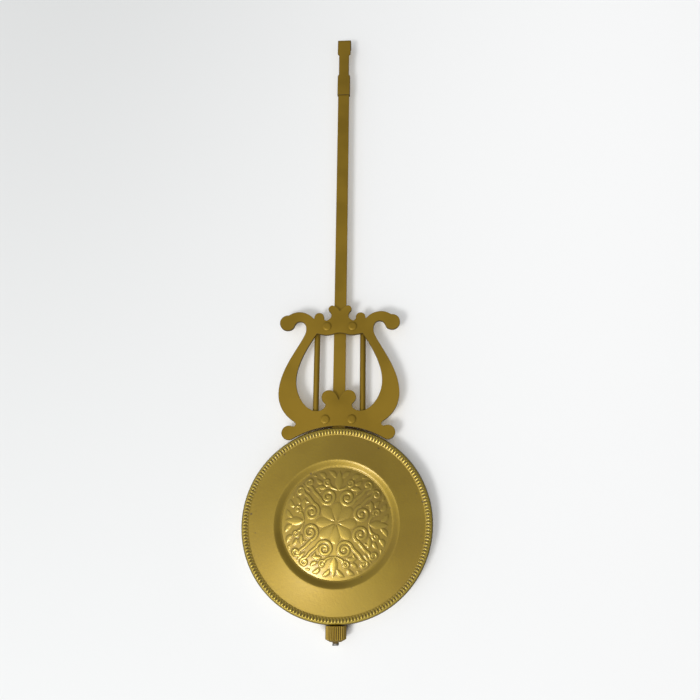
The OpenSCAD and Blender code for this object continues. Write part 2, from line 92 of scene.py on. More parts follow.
camera_data = bpy.data.cameras.new("phone_camera")
camera_data.sensor_width = 36.0
camera_data.lens = 36.77
camera_data.shift_x = -0.0570
camera_data.clip_start = 0.01
camera = in_scene("phone_camera", camera_data)
turn = Matrix((CAMERA_RIGHT, -CAMERA_DOWN, -CAMERA_AHEAD)).transposed()
camera.matrix_world = Matrix.Translation(CAMERA_PLACE) @ turn.to_4x4()
bpy.context.scene.camera = camera
print("camera to bob, mm:", round((BOB_CENTRE - CAMERA_PLACE).length / MM, 1))

# %% [markdown]
# ## A small language for node trees
# A finish or a repeated form is a formula. Written as nodes one by one it can't be read, so one
# class wraps a node's output and turns Python's own + - * / into Math nodes, and another adds
# any other node from its type, its settings and what its sockets hold. Both work in material
# trees and in Geometry Nodes trees alike.

# %% Wrap a socket and a tree
class Wire:
    """An output socket that Python's operators combine by Math nodes."""

    def __init__(self, tree, socket):
        self.tree, self.socket = tree, socket

    def __add__(self, other):
        return self.tree.maths("ADD", self, other)

    def __radd__(self, other):
        return self.tree.maths("ADD", other, self)

    def __sub__(self, other):
        return self.tree.maths("SUBTRACT", self, other)

    def __rsub__(self, other):
        return self.tree.maths("SUBTRACT", other, self)

    def __mul__(self, other):
        return self.tree.maths("MULTIPLY", self, other)

    def __rmul__(self, other):
        return self.tree.maths("MULTIPLY", other, self)

    def __truediv__(self, other):
        return self.tree.maths("DIVIDE", self, other)

    def __rtruediv__(self, other):
        return self.tree.maths("DIVIDE", other, self)

    def output(self, name):
        """Another output of the same node."""
        return Wire(self.tree, self.socket.node.outputs[name])


class Tree:
    """A node tree, with one way to add a node."""

    def __init__(self, tree):
        self.tree = tree

    def node(self, kind, settings=None, sockets=None, output=0):
        """Adds a node: its settings first, then the values or wires of its sockets."""
        made = self.tree.nodes.new(kind)
        for name, value in (settings or {}).items():
            if name == "stops":
                ramp = made.color_ramp.elements
                while len(ramp) < len(value):
                    ramp.new(1.0)
                for stop, (place, colour) in zip(ramp, value):
                    stop.position, stop.color = place, colour
            else:
                setattr(made, name, value)
        for key, value in (sockets or {}).items():
            if isinstance(value, Wire):
                self.tree.links.new(value.socket, made.inputs[key])
            else:
                made.inputs[key].default_value = value
        return Wire(self, made.outputs[output]) if made.outputs else made

    def maths(self, operation, *values):
        return self.node("ShaderNodeMath", {"operation": operation}, dict(enumerate(values)))

    def between(self, value, low, high, to_low=0.0, to_high=1.0):
        """Runs smoothly from to_low to to_high while value goes from low to high."""
        return self.node("ShaderNodeMapRange", {"interpolation_type": "SMOOTHSTEP"},
                         {"Value": value, "From Min": low, "From Max": high,
                          "To Min": to_low, "To Max": to_high})

    def blend(self, amount, first, second):
        return self.node("ShaderNodeMix", {"data_type": "RGBA"},
                         {0: amount, 6: first, 7: second}, output=2)

print("node helpers are ready")

# %% [markdown]
# A Geometry Nodes tree gets named inputs for its sizes, so the same rule makes a big rivet or a
# small one. A modifier keeps its inputs under each socket's identifier, and they are written
# before the object is first evaluated. The result is taken as a plain mesh and the modifier goes,
# because a finished piece carries no live nodes. Most rules here ask the same of a point: how far
# it is from an axis, how far round it, and where it moves; these questions are methods.

# %% Make a rule and use it
class Rule(Tree):
    """A Geometry Nodes tree whose inputs are named sizes, and which ends in Set Material."""

    def __init__(self, name, sizes):
        super().__init__(bpy.data.node_groups.new(name, "GeometryNodeTree"))
        face = self.tree.interface
        face.new_socket("Start", in_out="INPUT", socket_type="NodeSocketGeometry")
        for label, value in sizes.items():
            kind = "NodeSocketInt" if isinstance(value, int) else "NodeSocketFloat"
            face.new_socket(label, in_out="INPUT", socket_type=kind)
        face.new_socket("Finish", in_out="INPUT", socket_type="NodeSocketMaterial")
        face.new_socket("Result", in_out="OUTPUT", socket_type="NodeSocketGeometry")
        self.sizes = dict(sizes)
        self.inlet = self.node("NodeGroupInput")

    def size(self, label):
        return self.inlet.output(label)

    def places(self):
        """The X of each point; its Y and Z are further outputs."""
        return self.node("ShaderNodeSeparateXYZ",
                         sockets={0: self.node("GeometryNodeInputPosition")})

    def round_axis(self, across, along):
        """How far each point is from an axis, and its angle round it in whole turns."""
        return (self.maths("SQRT", across * across + along * along),
                self.maths("ARCTAN2", across, along) / (2 * math.pi))

    def stored(self, geometry, name, value, domain="POINT", **chosen):
        """Stores a number on the points or faces, for a finish to read."""
        return self.node("GeometryNodeStoreNamedAttribute",
                         {"data_type": "FLOAT", "domain": domain},
                         {"Geometry": geometry, "Name": name, "Value": value, **chosen})

    def shifted(self, geometry, offset, **chosen):
        """Moves points by an offset that names its axes."""
        offset = self.node("ShaderNodeCombineXYZ", sockets=offset)
        return self.node("GeometryNodeSetPosition",
                         sockets={"Geometry": geometry, "Offset": offset, **chosen})

    def sunk(self, geometry, x, y, radius, depth):
        """Moves points towards an upright axis by a depth."""
        inwards = 0.0 - depth / radius
        return self.shifted(geometry, {"X": x * inwards, "Y": y * inwards})

    def end(self, result):
        real = self.node("GeometryNodeRealizeInstances", sockets={0: result})
        painted = self.node("GeometryNodeSetMaterial",
                            sockets={"Geometry": real, "Material": self.size("Finish")})
        outlet = self.tree.nodes.new("NodeGroupOutput")
        self.tree.links.new(painted.socket, outlet.inputs[0])

    def make(self, name, start, finish, **changed):
        """Runs the rule on a mesh and returns the plain mesh that comes out."""
        carrier = in_scene(name + "_start", start)
        modifier = carrier.modifiers.new(name, "NODES")
        modifier.node_group = self.tree
        values = {**self.sizes, **changed, "Finish": finish}
        for item in self.tree.interface.items_tree:
            if item.in_out == "INPUT" and item.name in values:
                modifier[item.identifier] = values[item.name]
        return taken_mesh(carrier, name)


def taken_mesh(carrier, name):
    """The evaluated mesh of an object with modifiers. The object itself is removed."""
    seen = carrier.evaluated_get(bpy.context.evaluated_depsgraph_get())
    mesh = bpy.data.meshes.new_from_object(seen)
    mesh.name = name
    start = carrier.data
    bpy.data.objects.remove(carrier)
    bpy.data.meshes.remove(start)
    return mesh

print("Geometry Nodes helpers are ready")

# %% [markdown]
# ## Turned and pressed forms
# The shell, the nut, the stud and the strings are all round, so one helper turns a profile. The
# profile is a list of radii and heights in millimetres; sharp corners of it are eased first,
# because a pressed or turned edge always shows a thin line of light.

# %% Turn a profile
FACE = Matrix(((1, 0, 0), (0, 0, -1), (0, 1, 0)))
UPRIGHT = Matrix.Identity(3)


def eased(points, radius, steps=3, closed=False):
    """Rounds a profile's corners by short curves, which start radius millimetres from each."""
    most = 0.45
    points = [np.array(p, float) for p in points]
    out = []
    for i, corner in enumerate(points):
        if not closed and i in (0, len(points) - 1):
            out.append(corner)
            continue
        before, after = points[i - 1], points[(i + 1) % len(points)]
        reach = [min(radius, most * np.linalg.norm(p - corner)) for p in (before, after)]
        start = corner + (before - corner) / np.linalg.norm(before - corner) * reach[0]
        end = corner + (after - corner) / np.linalg.norm(after - corner) * reach[1]
        for t in np.linspace(0, 1, steps + 1):
            out.append((1 - t) ** 2 * start + 2 * t * (1 - t) * corner + t * t * end)
    return out


def turned(name, profile, columns, axes, centre):
    """A closed body: a profile that starts and ends at radius 0, or a ring's closed profile."""
    rows = np.array(profile, float)
    angle = np.arange(columns) * 2 * math.pi / columns
    has_poles = rows[0][0] == 0
    ring_rows = rows[1:-1] if has_poles else rows
    points = np.stack([np.outer(ring_rows[:, 0], np.sin(angle)),
                       np.outer(ring_rows[:, 0], np.cos(angle)),
                       np.repeat(ring_rows[:, 1:], columns, axis=1)], axis=2).reshape(-1, 3)
    count = len(ring_rows)
    faces = []
    for row in range(count - 1 if has_poles else count):
        low, high = row * columns, (row + 1) % count * columns
        faces += [(low + i, low + (i + 1) % columns, high + (i + 1) % columns, high + i)
                  for i in range(columns)]
    if has_poles:
        points = np.vstack([points, [[0, 0, rows[0][1]], [0, 0, rows[-1][1]]]])
        first, last = len(points) - 2, len(points) - 1
        rim = (count - 1) * columns
        faces += [(first, (i + 1) % columns, i) for i in range(columns)]
        faces += [(last, rim + i, rim + (i + 1) % columns) for i in range(columns)]
    placed = points * MM @ np.array(axes).T + np.array(centre)
    mesh = bpy.data.meshes.new(name)
    mesh.from_pydata(placed.tolist(), [], faces)
    face_outwards(mesh)
    return mesh


def face_outwards(mesh):
    work = bmesh.new()
    work.from_mesh(mesh)
    bmesh.ops.recalc_face_normals(work, faces=work.faces)
    work.to_mesh(mesh)
    work.free()


def joined(name, *meshes):
    """Puts several closed bodies of one piece in one mesh."""
    work = bmesh.new()
    for mesh in meshes:
        work.from_mesh(mesh)
    whole = bpy.data.meshes.new(name)
    work.to_mesh(whole)
    work.free()
    for mesh in meshes:
        bpy.data.meshes.remove(mesh)
    return whole

print("turning helpers are ready")

# %% [markdown]
# ## Showing a piece
# Every finished mesh becomes an object at the origin, with smooth faces and crisp corners. It
# rides with a moving body of the pendulum and stands for solid nodes that are then hidden. The
# printout says how heavy the mesh is and whether it is closed.

# %% Show a mesh as a piece
def show(name, mesh, body, slot, finish, stands_for, crisp=38):
    mesh.name = name
    mesh.materials.clear()
    mesh.materials.append(finish)
    mesh.polygons.foreach_set("material_index", [0] * len(mesh.polygons))
    mesh.polygons.foreach_set("use_smooth", [True] * len(mesh.polygons))
    mesh.set_sharp_from_angle(angle=math.radians(crisp))
    piece = in_scene(name, mesh)
    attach(piece, body)
    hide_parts(*stands_for)
    work = bmesh.new()
    work.from_mesh(mesh)
    open_edges = sum(not edge.is_manifold for edge in work.edges)
    triangles = sum(len(face.verts) - 2 for face in work.faces)
    print(f"{name}: {triangles} triangles, {open_edges} open edges, volume "
          f"{work.calc_volume(signed=True) / MM ** 3:.1f} mm3")
    work.free()

# %% [markdown]
# ## Easing the edges of flat and bent parts
# Plates and strips keep the solid model's own outline. A copy of the node is merged, its flat
# faces are joined again, and a Bevel rounds only the real corners, as tumbling and lacquer do.
# An attribute marks the eased edges and the sheared sides, where the gold lacquers paint a dark
# line of shade.

# %% Copy a node with eased edges
SAME_POINT, SAME_PLANE = 0.001 * MM, math.radians(0.5)
NARROW_SHARE = 0.6


def eased_copy(node, width, segments, corner=35):
    work = bmesh.new()
    work.from_mesh(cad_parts[node].data)
    bmesh.ops.remove_doubles(work, verts=work.verts, dist=SAME_POINT)
    bmesh.ops.dissolve_limit(work, angle_limit=SAME_PLANE, verts=work.verts, edges=work.edges)
    mesh = bpy.data.meshes.new(node + "_copy")
    work.to_mesh(mesh)
    work.free()
    mesh.polygons.foreach_set("use_smooth", [True] * len(mesh.polygons))
    carrier = in_scene(node + "_copy", mesh)
    bevel = carrier.modifiers.new("eased", "BEVEL")
    bevel.width = width * MM
    bevel.segments = segments
    bevel.limit_method = "ANGLE"
    bevel.angle_limit = math.radians(corner)
    bevel.use_clamp_overlap = True
    even = carrier.modifiers.new("even_light", "WEIGHTED_NORMAL")
    even.weight = 60
    even.keep_sharp = True
    flat = taken_mesh(carrier, node + "_eased")
    # The gold lacquers paint these marks as a dark line of shade.
    mark_edges(flat, NARROW_SHARE * width * MM)
    return flat


def store(mesh, name, values, domain="POINT"):
    """Stores a number for each point or face, for a finish to read."""
    mesh.attributes.new(name, "FLOAT", domain).data.foreach_set("value", values)


def mark_edges(mesh, narrow, sides=0.6, sideways=0.3):
    """Stores 1 on the narrow faces of an eased edge, less on sheared sides, 0 elsewhere."""
    edge_shade = []
    for face in mesh.polygons:
        corners = [mesh.vertices[i].co for i in face.vertices]
        longest = max((a - b).length for a, b in zip(corners, corners[1:] + corners[:1]))
        sheared = abs(face.normal.y) < sideways
        edge_shade.append(1.0 if face.area / longest < narrow else sides * sheared)
    store(mesh, "edge", edge_shade, "FACE")

print("edge helpers are ready")

# %% [markdown]
# ## The finishes
# Almost everything wears the same cheap gold: a satin lacquer with fine metal powder in it. It is
# neither bare brass nor plain paint, so the shader is mostly metal, with the dull shine of the
# binder as a thin coat. Three scales of variation keep it alive: slow clouds from the spray gun,
# the grain of the powder, and the orange peel of the dried film, which only bends the light.
# Patterns read Object coordinates in metres, so a scale of 1000 means about a millimetre.

# %% Build the finishes' common parts
class Finish(Tree):
    """A material tree with a Principled shader and the patterns that the finishes share."""

    def __init__(self, name):
        self.material = bpy.data.materials.new(name)
        self.material.use_nodes = True
        super().__init__(self.material.node_tree)
        self.tree.nodes.clear()
        self.place = self.node("ShaderNodeTexCoord", output="Object")

    def noise(self, scale, detail, stretch=None):
        place = self.place
        if stretch:
            place = self.node("ShaderNodeMapping", sockets={"Vector": place, "Scale": stretch})
        return self.node("ShaderNodeTexNoise",
                         sockets={"Vector": place, "Scale": scale, "Detail": detail})

    def cells(self, scale):
        return self.node("ShaderNodeTexVoronoi", sockets={"Vector": self.place, "Scale": scale})

    def mark(self, name):
        """A number stored on the mesh's points or faces."""
        return self.node("ShaderNodeAttribute", {"attribute_name": name}, output="Fac")

    def ramp(self, value, stops):
        return self.node("ShaderNodeValToRGB", {"stops": stops}, {0: value})

    def bump(self, height, distance, strength, under=None):
        """Bends the light by a height, in millimetres, over another bump."""
        sockets = {"Height": height, "Distance": distance * MM, "Strength": strength}
        if under:
            sockets["Normal"] = under
        return self.node("ShaderNodeBump", sockets=sockets)

    def shade(self, **sockets):
        named = {key.replace("_", " "): value for key, value in sockets.items()}
        shader = self.node("ShaderNodeBsdfPrincipled", sockets=named)
        self.node("ShaderNodeOutputMaterial", sockets={"Surface": shader})
        return self.material


def rgb(red, green, blue):
    return (red, green, blue, 1.0)

print("finish helpers are ready")

# %% [markdown]
# The lacquer on the rod, the hook and the lyre is thin and slightly brown. At the eased edges and
# on the sheared sides a dull dark line is painted, as painted shade. The bob carries more layers:
# it is yellower, and a few dark grains of dust are caught in it. The valleys between its teeth get
# the same painted shade, and their crests get a painted highlight.

# %% Mix the gold lacquers
# Light brass for painted highlights on crests.
PAINTED_HIGHLIGHT_BRASS = rgb(0.42, 0.31, 0.03)
EDGE_SHADE_SHARE = 0.15


def gold_lacquer(name, deep, light, roughness, coat, coat_ior=1.5, grit=0.014, dust=0.0):
    made = Finish(name)
    cloud = made.between(made.noise(48, 3), 0.35, 0.65)
    grain = made.noise(2600, 2)
    peel = made.noise(900, 2)
    edge, rubbed = made.mark("edge"), made.mark("rubbed")
    tone = made.blend(cloud * 0.55 + grain * 0.45, rgb(*deep), rgb(*light))
    # Painted highlight: the marked crests are painted light brass.
    tone = made.blend(rubbed * 0.8, tone, PAINTED_HIGHLIGHT_BRASS)
    # Painted shade: the marked edges, sides, rivet heads and tooth valleys are painted dark.
    tone = made.blend(edge * 0.95, tone, rgb(*[c * EDGE_SHADE_SHARE for c in deep]))
    if dust:
        speck = made.cells(420)
        chosen = made.between(speck.output("Color"), 0.74, 0.80)
        dot = 1.0 - made.between(speck, 0.14, 0.30)
        tone = made.blend(chosen * dot * dust, tone, rgb(0.09, 0.055, 0.01))
    return made.shade(
        Base_Color=tone, Metallic=0.84 - cloud * 0.06 - edge * 0.5,
        Roughness=roughness + (grain - 0.5) * 0.14 + (cloud - 0.5) * 0.05 + edge * 0.15
        - rubbed * 0.06,
        Coat_Weight=coat, Coat_Roughness=0.26, Coat_IOR=coat_ior,
        Normal=made.bump(grain, grit, 0.55, made.bump(peel, 2.0 * grit, 0.4)))


frame_gold = gold_lacquer("satin_gold_lacquer", (0.215, 0.132, 0.009), (0.285, 0.177, 0.012),
                          roughness=0.56, coat=0.1)
bob_gold = gold_lacquer("pressed_brass_lacquer", (0.224, 0.141, 0.002), (0.272, 0.181, 0.003),
                        roughness=0.44, coat=0.6, coat_ior=1.56, grit=0.05, dust=0.9)
print("mixed:", frame_gold.name, bob_gold.name)

# %% [markdown]
# The medallion has the bob's lacquer, and it was chased. Its hollows are painted darker and
# rougher, as painted shade, while the crests of the scrolls are painted lighter, as a painted
# highlight. The mesh stores how high each point of the relief stands, and the finish reads it.

# %% Mix the medallion's lacquer
def medallion_lacquer():
    made = Finish("chased_brass_lacquer")
    cloud = made.between(made.noise(60, 3), 0.35, 0.65)
    grain = made.noise(2600, 2)
    relief, hollow = made.mark("relief"), made.mark("hollow")
    tone = made.blend(cloud * 0.5 + grain * 0.5,
                      rgb(0.265, 0.169, 0.002), rgb(0.33, 0.221, 0.004))
    # Painted highlight: the crests of the relief are painted lighter.
    tone = made.blend(relief * 0.3, tone, PAINTED_HIGHLIGHT_BRASS)
    # Painted shade: the hollows between strokes are painted darker.
    tone = made.blend(hollow * 0.35, tone, rgb(0.14, 0.08, 0.002))
    return made.shade(
        Base_Color=tone, Metallic=0.86 - hollow * 0.05,
        Roughness=0.38 + (grain - 0.5) * 0.12 - relief * 0.04 + hollow * 0.1,
        Coat_Weight=0.9, Coat_Roughness=0.23, Coat_IOR=1.58,
        Normal=made.bump(grain, 0.02, 0.55))


medallion_gold = medallion_lacquer()
print("mixed:", medallion_gold.name)

# %% [markdown]
# The nut is turned brass: fine rings run round it, and the bottoms of its flutes are painted
# shade.
# The stud and the inner parts are zinc plated steel, drawn lengthways. The stud's lower end took
# the gold spray with the rest, but its cut tip is bare, and its thread grooves are painted dark,
# as painted shade. The friction spring is blued, in patches from blue to straw, and the slugs are
# raw cast iron with pits.

# %% Mix the metals
def turned_brass():
    made = Finish("turned_brass")
    rings = made.noise(900, 3, stretch=(0.12, 0.12, 3.0))
    flute = made.mark("flute")
    tone = made.blend(rings, rgb(0.30, 0.19, 0.018), rgb(0.42, 0.28, 0.035))
    # Painted shade: the bottoms of the flutes are painted dark.
    tone = made.blend(flute * 0.75, tone, rgb(0.09, 0.055, 0.008))
    return made.shade(Base_Color=tone, Metallic=0.88 - flute * 0.35,
                      Roughness=0.33 + (rings - 0.5) * 0.2 + flute * 0.2,
                      Coat_Weight=0.15, Coat_Roughness=0.25,
                      Normal=made.bump(rings, 0.01, 0.5))


def plated_steel(name, sprayed_below=-1.0, cut_below=-2.0):
    made = Finish(name)
    drawn = made.noise(1400, 3, stretch=(1.0, 1.0, 0.08))
    cloud = made.noise(160, 2)
    edge, grime = made.mark("edge"), made.mark("grime")
    height = made.node("ShaderNodeSeparateXYZ", sockets={0: made.place}, output="Z")
    gold = (1.0 - made.between(height, sprayed_below - MM, sprayed_below + MM)) * made.between(
        height, cut_below, cut_below + 0.3 * MM)
    tone = made.blend(cloud, rgb(0.47, 0.48, 0.50), rgb(0.66, 0.64, 0.58))
    tone = made.blend(edge * 0.3, tone, rgb(0.78, 0.78, 0.78))
    tone = made.blend(gold * 0.9, tone, rgb(0.36, 0.235, 0.03))
    # Painted shade: the thread grooves and the dark wires under the nut are painted dark.
    tone = made.blend(grime * 0.9, tone, rgb(0.045, 0.028, 0.01))
    return made.shade(Base_Color=tone, Metallic=0.95 - cloud * 0.05 - grime * 0.5,
                      Roughness=0.26 + drawn * 0.16 + gold * 0.12 + grime * 0.2,
                      Normal=made.bump(drawn, 0.008, 0.5))


def blued_spring():
    made = Finish("blued_spring")
    drawn = made.noise(1800, 3, stretch=(1.0, 1.0, 0.05))
    heat = made.noise(70, 1)
    tone = made.ramp(heat, [(0.30, rgb(0.05, 0.07, 0.16)), (0.55, rgb(0.10, 0.13, 0.26)),
                            (0.75, rgb(0.32, 0.24, 0.12))])
    return made.shade(Base_Color=tone, Metallic=0.9 - heat * 0.05, Roughness=0.22 + drawn * 0.14,
                      Normal=made.bump(drawn, 0.006, 0.5))


def cast_iron():
    made = Finish("cast_iron")
    sand = made.noise(900, 4)
    pit = 1.0 - made.between(made.cells(620), 0.05, 0.3)
    tone = made.blend(sand, rgb(0.05, 0.048, 0.045), rgb(0.15, 0.14, 0.13))
    tone = made.blend(pit * 0.6, tone, rgb(0.09, 0.045, 0.02))
    return made.shade(Base_Color=tone, Metallic=0.55 - pit * 0.3, Roughness=0.5 + sand * 0.3,
                      Normal=made.bump(sand - pit * 0.6, 0.06, 0.7))


nut_brass, spring_blue, iron = turned_brass(), blued_spring(), cast_iron()
steel = plated_steel("plated_steel")
stud_steel = plated_steel("sprayed_stud_steel", sprayed_below=bob_low.z + 6 * MM,
                          cut_below=stud_low.z + 0.8 * MM)
print("mixed:", nut_brass.name, steel.name, stud_steel.name, spring_blue.name, iron.name)

# %% [markdown]
# ## The rod, the hook and the stamped parts
# These are cut from sheet and strip: the rod is rolled, so its edges are rounder than those of
# the stamped lyre, and the hook is a thin strip that was folded and crimped. The solid model has
# their outlines, so each is its eased copy. The same is done for the parts inside the bob.

# %% Ease the edges of the plates and strips
EASED = {
    ("pendulum", "gold_finish", frame_gold): [
        ("rod_strip", "pendulum_rod", 0.45, 5), ("hook_fold", "suspension_hook", 0.18, 3),
        ("lyre_plate", "lyre_frame", 0.45, 5), ("stay_upper", "upper_stay", 0.12, 2),
        ("stay_lower", "lower_stay", 0.12, 2)],
    ("bob", "bob_brass", bob_gold): [("cover_back", "bob_back", 0.15, 2)],
    ("bob", "slug_iron", iron): [
        ("slug_left", "left_weight", 0.20, 2), ("slug_right", "right_weight", 0.20, 2)],
    ("bob", "bright_steel", steel): [
        ("guide_upper", "upper_guide", 0.10, 2), ("guide_lower", "lower_guide", 0.10, 2)],
    ("bob", "spring_steel", spring_blue): [("spring_leaf", "friction_spring", 0.06, 2)],
}
for (body, slot, finish), pieces in EASED.items():
    for name, node, width, segments in pieces:
        show(name, eased_copy(node, width, segments), body, slot, finish, [node])

# %% [markdown]
# The two strings are round rods held in the saddles of the stays. Each is turned from a profile
# with chamfered ends, on the place and length of its solid.

# %% Turn the strings
CHAMFER = 0.25
for side in ("left", "right"):
    low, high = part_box(side + "_string")
    radius, length = (high.x - low.x) / 2 / MM, (high.z - low.z) / MM
    profile = eased([(0, 0), (radius - CHAMFER, 0), (radius, CHAMFER), (radius, length - CHAMFER),
                     (radius - CHAMFER, length), (0, length)], 0.12)
    foot = ((low.x + high.x) / 2, (low.y + high.y) / 2, low.z)
    rod = turned("string", profile, 40, UPRIGHT, foot)
    show(f"string_{side}", rod, "pendulum", "gold_finish", frame_gold, [side + "_string"])

# %% [markdown]
# ## Rivets
# The part holds thirteen small rivets in five sets. They differ in size but not in kind: a flat
# head with a rounded edge in front, a shank, and a tail that was set behind. That is a rule, so
# it is a Geometry Nodes tree: three cylinders, the front one with a raised cap, are instanced on
# points. The points are a small mesh, one for each set.

# %% Write the rule of a rivet
rivet_rule = Rule("rivet_on_points", {
    "Head Radius": 2.1 * MM, "Head Rise": 0.3 * MM, "Head Edge": 0.25 * MM,
    "Shank Radius": 0.97 * MM, "Length": 2.3 * MM, "Tail Radius": 1.6 * MM, "Tail Edge": 0.4 * MM,
    "Turn": math.pi / 2})


def rivet_cylinder(radius, depth, middle, fills):
    """A capped cylinder round Z whose middle is lifted; its top cap has rings to be raised."""
    part = rivet_rule.node("GeometryNodeMeshCylinder",
                           sockets={"Vertices": 40, "Side Segments": 1, "Fill Segments": fills,
                                    "Radius": radius, "Depth": depth})
    lift = rivet_rule.node("ShaderNodeCombineXYZ", sockets={"Z": middle})
    return part, rivet_rule.node("GeometryNodeTransform",
                                 sockets={"Geometry": part, "Translation": lift})


def flat_topped(part, moved, radius, rise):
    """Raises the cap to a flat top that falls off steeply near its edge, and marks its side."""
    flat = rivet_rule.places()
    square = (flat * flat + flat.output("Y") * flat.output("Y")) / (radius * radius)
    fall = square * square * square * square
    raised = rivet_rule.shifted(moved, {"Z": (1.0 - fall) * rise}, Selection=part.output("Top"))
    # The gold lacquer paints this marked side dark, as a ring of painted shade round the head.
    return rivet_rule.stored(raised, "edge", 1.0, "FACE", Selection=part.output("Side"))


size = rivet_rule.size
head_part, head_moved = rivet_cylinder(size("Head Radius"), size("Head Edge"),
                                       size("Head Edge") / 2, 6)
head = flat_topped(head_part, head_moved, size("Head Radius"), size("Head Rise"))
shank = rivet_cylinder(size("Shank Radius"), size("Length"), size("Length") / -2, 1)[1]
tail = rivet_cylinder(size("Tail Radius"), size("Tail Edge"),
                      0.0 - size("Length") - size("Tail Edge") / 2, 1)[1]
body_of_rivet = rivet_rule.node("GeometryNodeJoinGeometry")
for part in (head, shank, tail):
    rivet_rule.tree.links.new(part.socket, body_of_rivet.socket.node.inputs[0])
facing = rivet_rule.node("FunctionNodeAxisAngleToRotation",
                         sockets={"Axis": (1.0, 0.0, 0.0), "Angle": size("Turn")})
placed = rivet_rule.node("GeometryNodeInstanceOnPoints",
                         sockets={"Points": rivet_rule.inlet, "Instance": body_of_rivet,
                                  "Rotation": facing})
rivet_rule.end(placed)
print("rivet rule:", len(rivet_rule.tree.nodes), "nodes")

# %% [markdown]
# Each set reads its places from the solid rivets. One node holds all the rivets of a set, so its
# mesh is split into connected bodies and the middle of each gives an axis. Heads that show on the
# back of the bob are turned to face it.

# %% Rivet the parts together
def rivet_axes(node):
    """The middle of each connected body of a node."""
    work = bmesh.new()
    work.from_mesh(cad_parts[node].data)
    bmesh.ops.remove_doubles(work, verts=work.verts, dist=SAME_POINT)
    left, middles = set(work.verts), []
    while left:
        front, body = [left.pop()], []
        while front:
            point = front.pop()
            body.append(point.co.copy())
            for edge in point.link_edges:
                other = edge.other_vert(point)
                if other in left:
                    left.remove(other)
                    front.append(other)
        places = np.array(body)
        middles.append((places.min(axis=0) + places.max(axis=0)) / 2)
    work.free()
    return sorted(middles, key=tuple)


def rivet_set(name, nodes, body, slot, finish, face, chosen=lambda axis: True, turn=1, **sizes):
    """One piece of the rivets of some nodes, with their heads' feet on the plane y = face."""
    axes = [axis for node in nodes for axis in rivet_axes(node) if chosen(axis)]
    points = bpy.data.meshes.new(name + "_places")
    points.from_pydata([(axis[0], face * MM, axis[2]) for axis in axes], [], [])
    changed = {key.replace("_", " ").title(): value * MM for key, value in sizes.items()}
    made = rivet_rule.make(name, points, finish, Turn=turn * math.pi / 2, **changed)
    face_outwards(made)
    print(name, "has", len(axes), "rivets")
    show(name, made, body, slot, finish, nodes)


HEAD_EDGE, HEAD_RISE = 0.15, 0.25
cover_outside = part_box("weight_rivets")[1].y / MM - HEAD_EDGE - HEAD_RISE
ON_COVER = dict(body="bob", slot="bright_steel", finish=steel, face=cover_outside, turn=-1,
                head_edge=HEAD_EDGE, head_rise=HEAD_RISE)
SMALL = dict(ON_COVER, head_radius=1.6, shank_radius=0.78, tail_radius=1.5)
rivet_set("rivets_lyre", ["upper_rivets", "lower_rivets"], "pendulum", "gold_finish", frame_gold,
          face=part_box("lyre_frame")[0].y / MM)
rivet_set("rivets_slugs", ["weight_rivets"], head_radius=3.0, shank_radius=1.48, length=5.7,
          tail_radius=2.9, **ON_COVER)
rivet_set("rivets_guides", ["guide_rivets"], chosen=lambda axis: abs(axis[0]) > MM, length=1.3,
          **SMALL)
rivet_set("rivet_spring", ["guide_rivets"], chosen=lambda axis: abs(axis[0]) < MM, length=1.0,
          **SMALL)
rivet_set("rivets_stud", ["stud_rivets"], "pendulum", "bright_steel", steel,
          face=rod_low.y / MM, head_radius=1.1, head_edge=0.12, head_rise=0.18,
          shank_radius=0.68, length=2.3, tail_radius=0.9, tail_edge=0.3)

# %% [markdown]
# ## The bob's shell
# The front of the bob is pressed from thin sheet. From the middle outwards it has a crowned
# medallion, a groove, a raised ring, a dished band that falls gently, and a beaded rim whose
# skirt is turned in over the back cover. Every one of these is round, so the band and the ring
# are one turned profile of the sheet's outside and inside.

# %% Turn the ring and the dished band
SHEET, BAND_TOP, BAND_STEPS = 0.7, 3.75, 9
band_radii = np.linspace(28.2, 38.7, BAND_STEPS)
band_slope = np.radians(np.linspace(7.8, 5.0, BAND_STEPS))
band_height = BAND_TOP - np.cumsum(np.tan(band_slope)) * (band_radii[1] - band_radii[0])
print("dished band falls from", round(band_height[0], 2), "to", round(band_height[-1], 2), "mm")
band_outside = [(24.2, 2.25), (24.95, 2.3), (26.4, 3.06), (27.1, 3.4), (27.7, 3.62)]
band_outside += list(zip(band_radii, band_height)) + [(39.3, band_height[-1] - 0.03)]
band_inside = [(radius, height - SHEET) for radius, height in reversed(band_outside)]
band = turned("band", eased(band_outside + band_inside, 0.6, 4, closed=True), 360, FACE,
              BOB_CENTRE)
show("bob_band", band, "bob", "bob_brass", bob_gold, ["bob_front"])

# %% [markdown]
# ## The denticled rim
# One hundred and eighty small teeth run round the bead. The press made them as bars across its
# outer half, which fade out on the inner slope and leave the outermost bead smooth. The bead is
# turned smooth first; the teeth are a rule of the angle round the bob and the distance from its
# centre, so a Geometry Nodes tree moves the points of the turned bead towards the viewer and
# away. It stores two marks as well: edge in the valleys, for painted shade, and rubbed
# on the crests and on the smooth bead outside them, for a painted highlight.

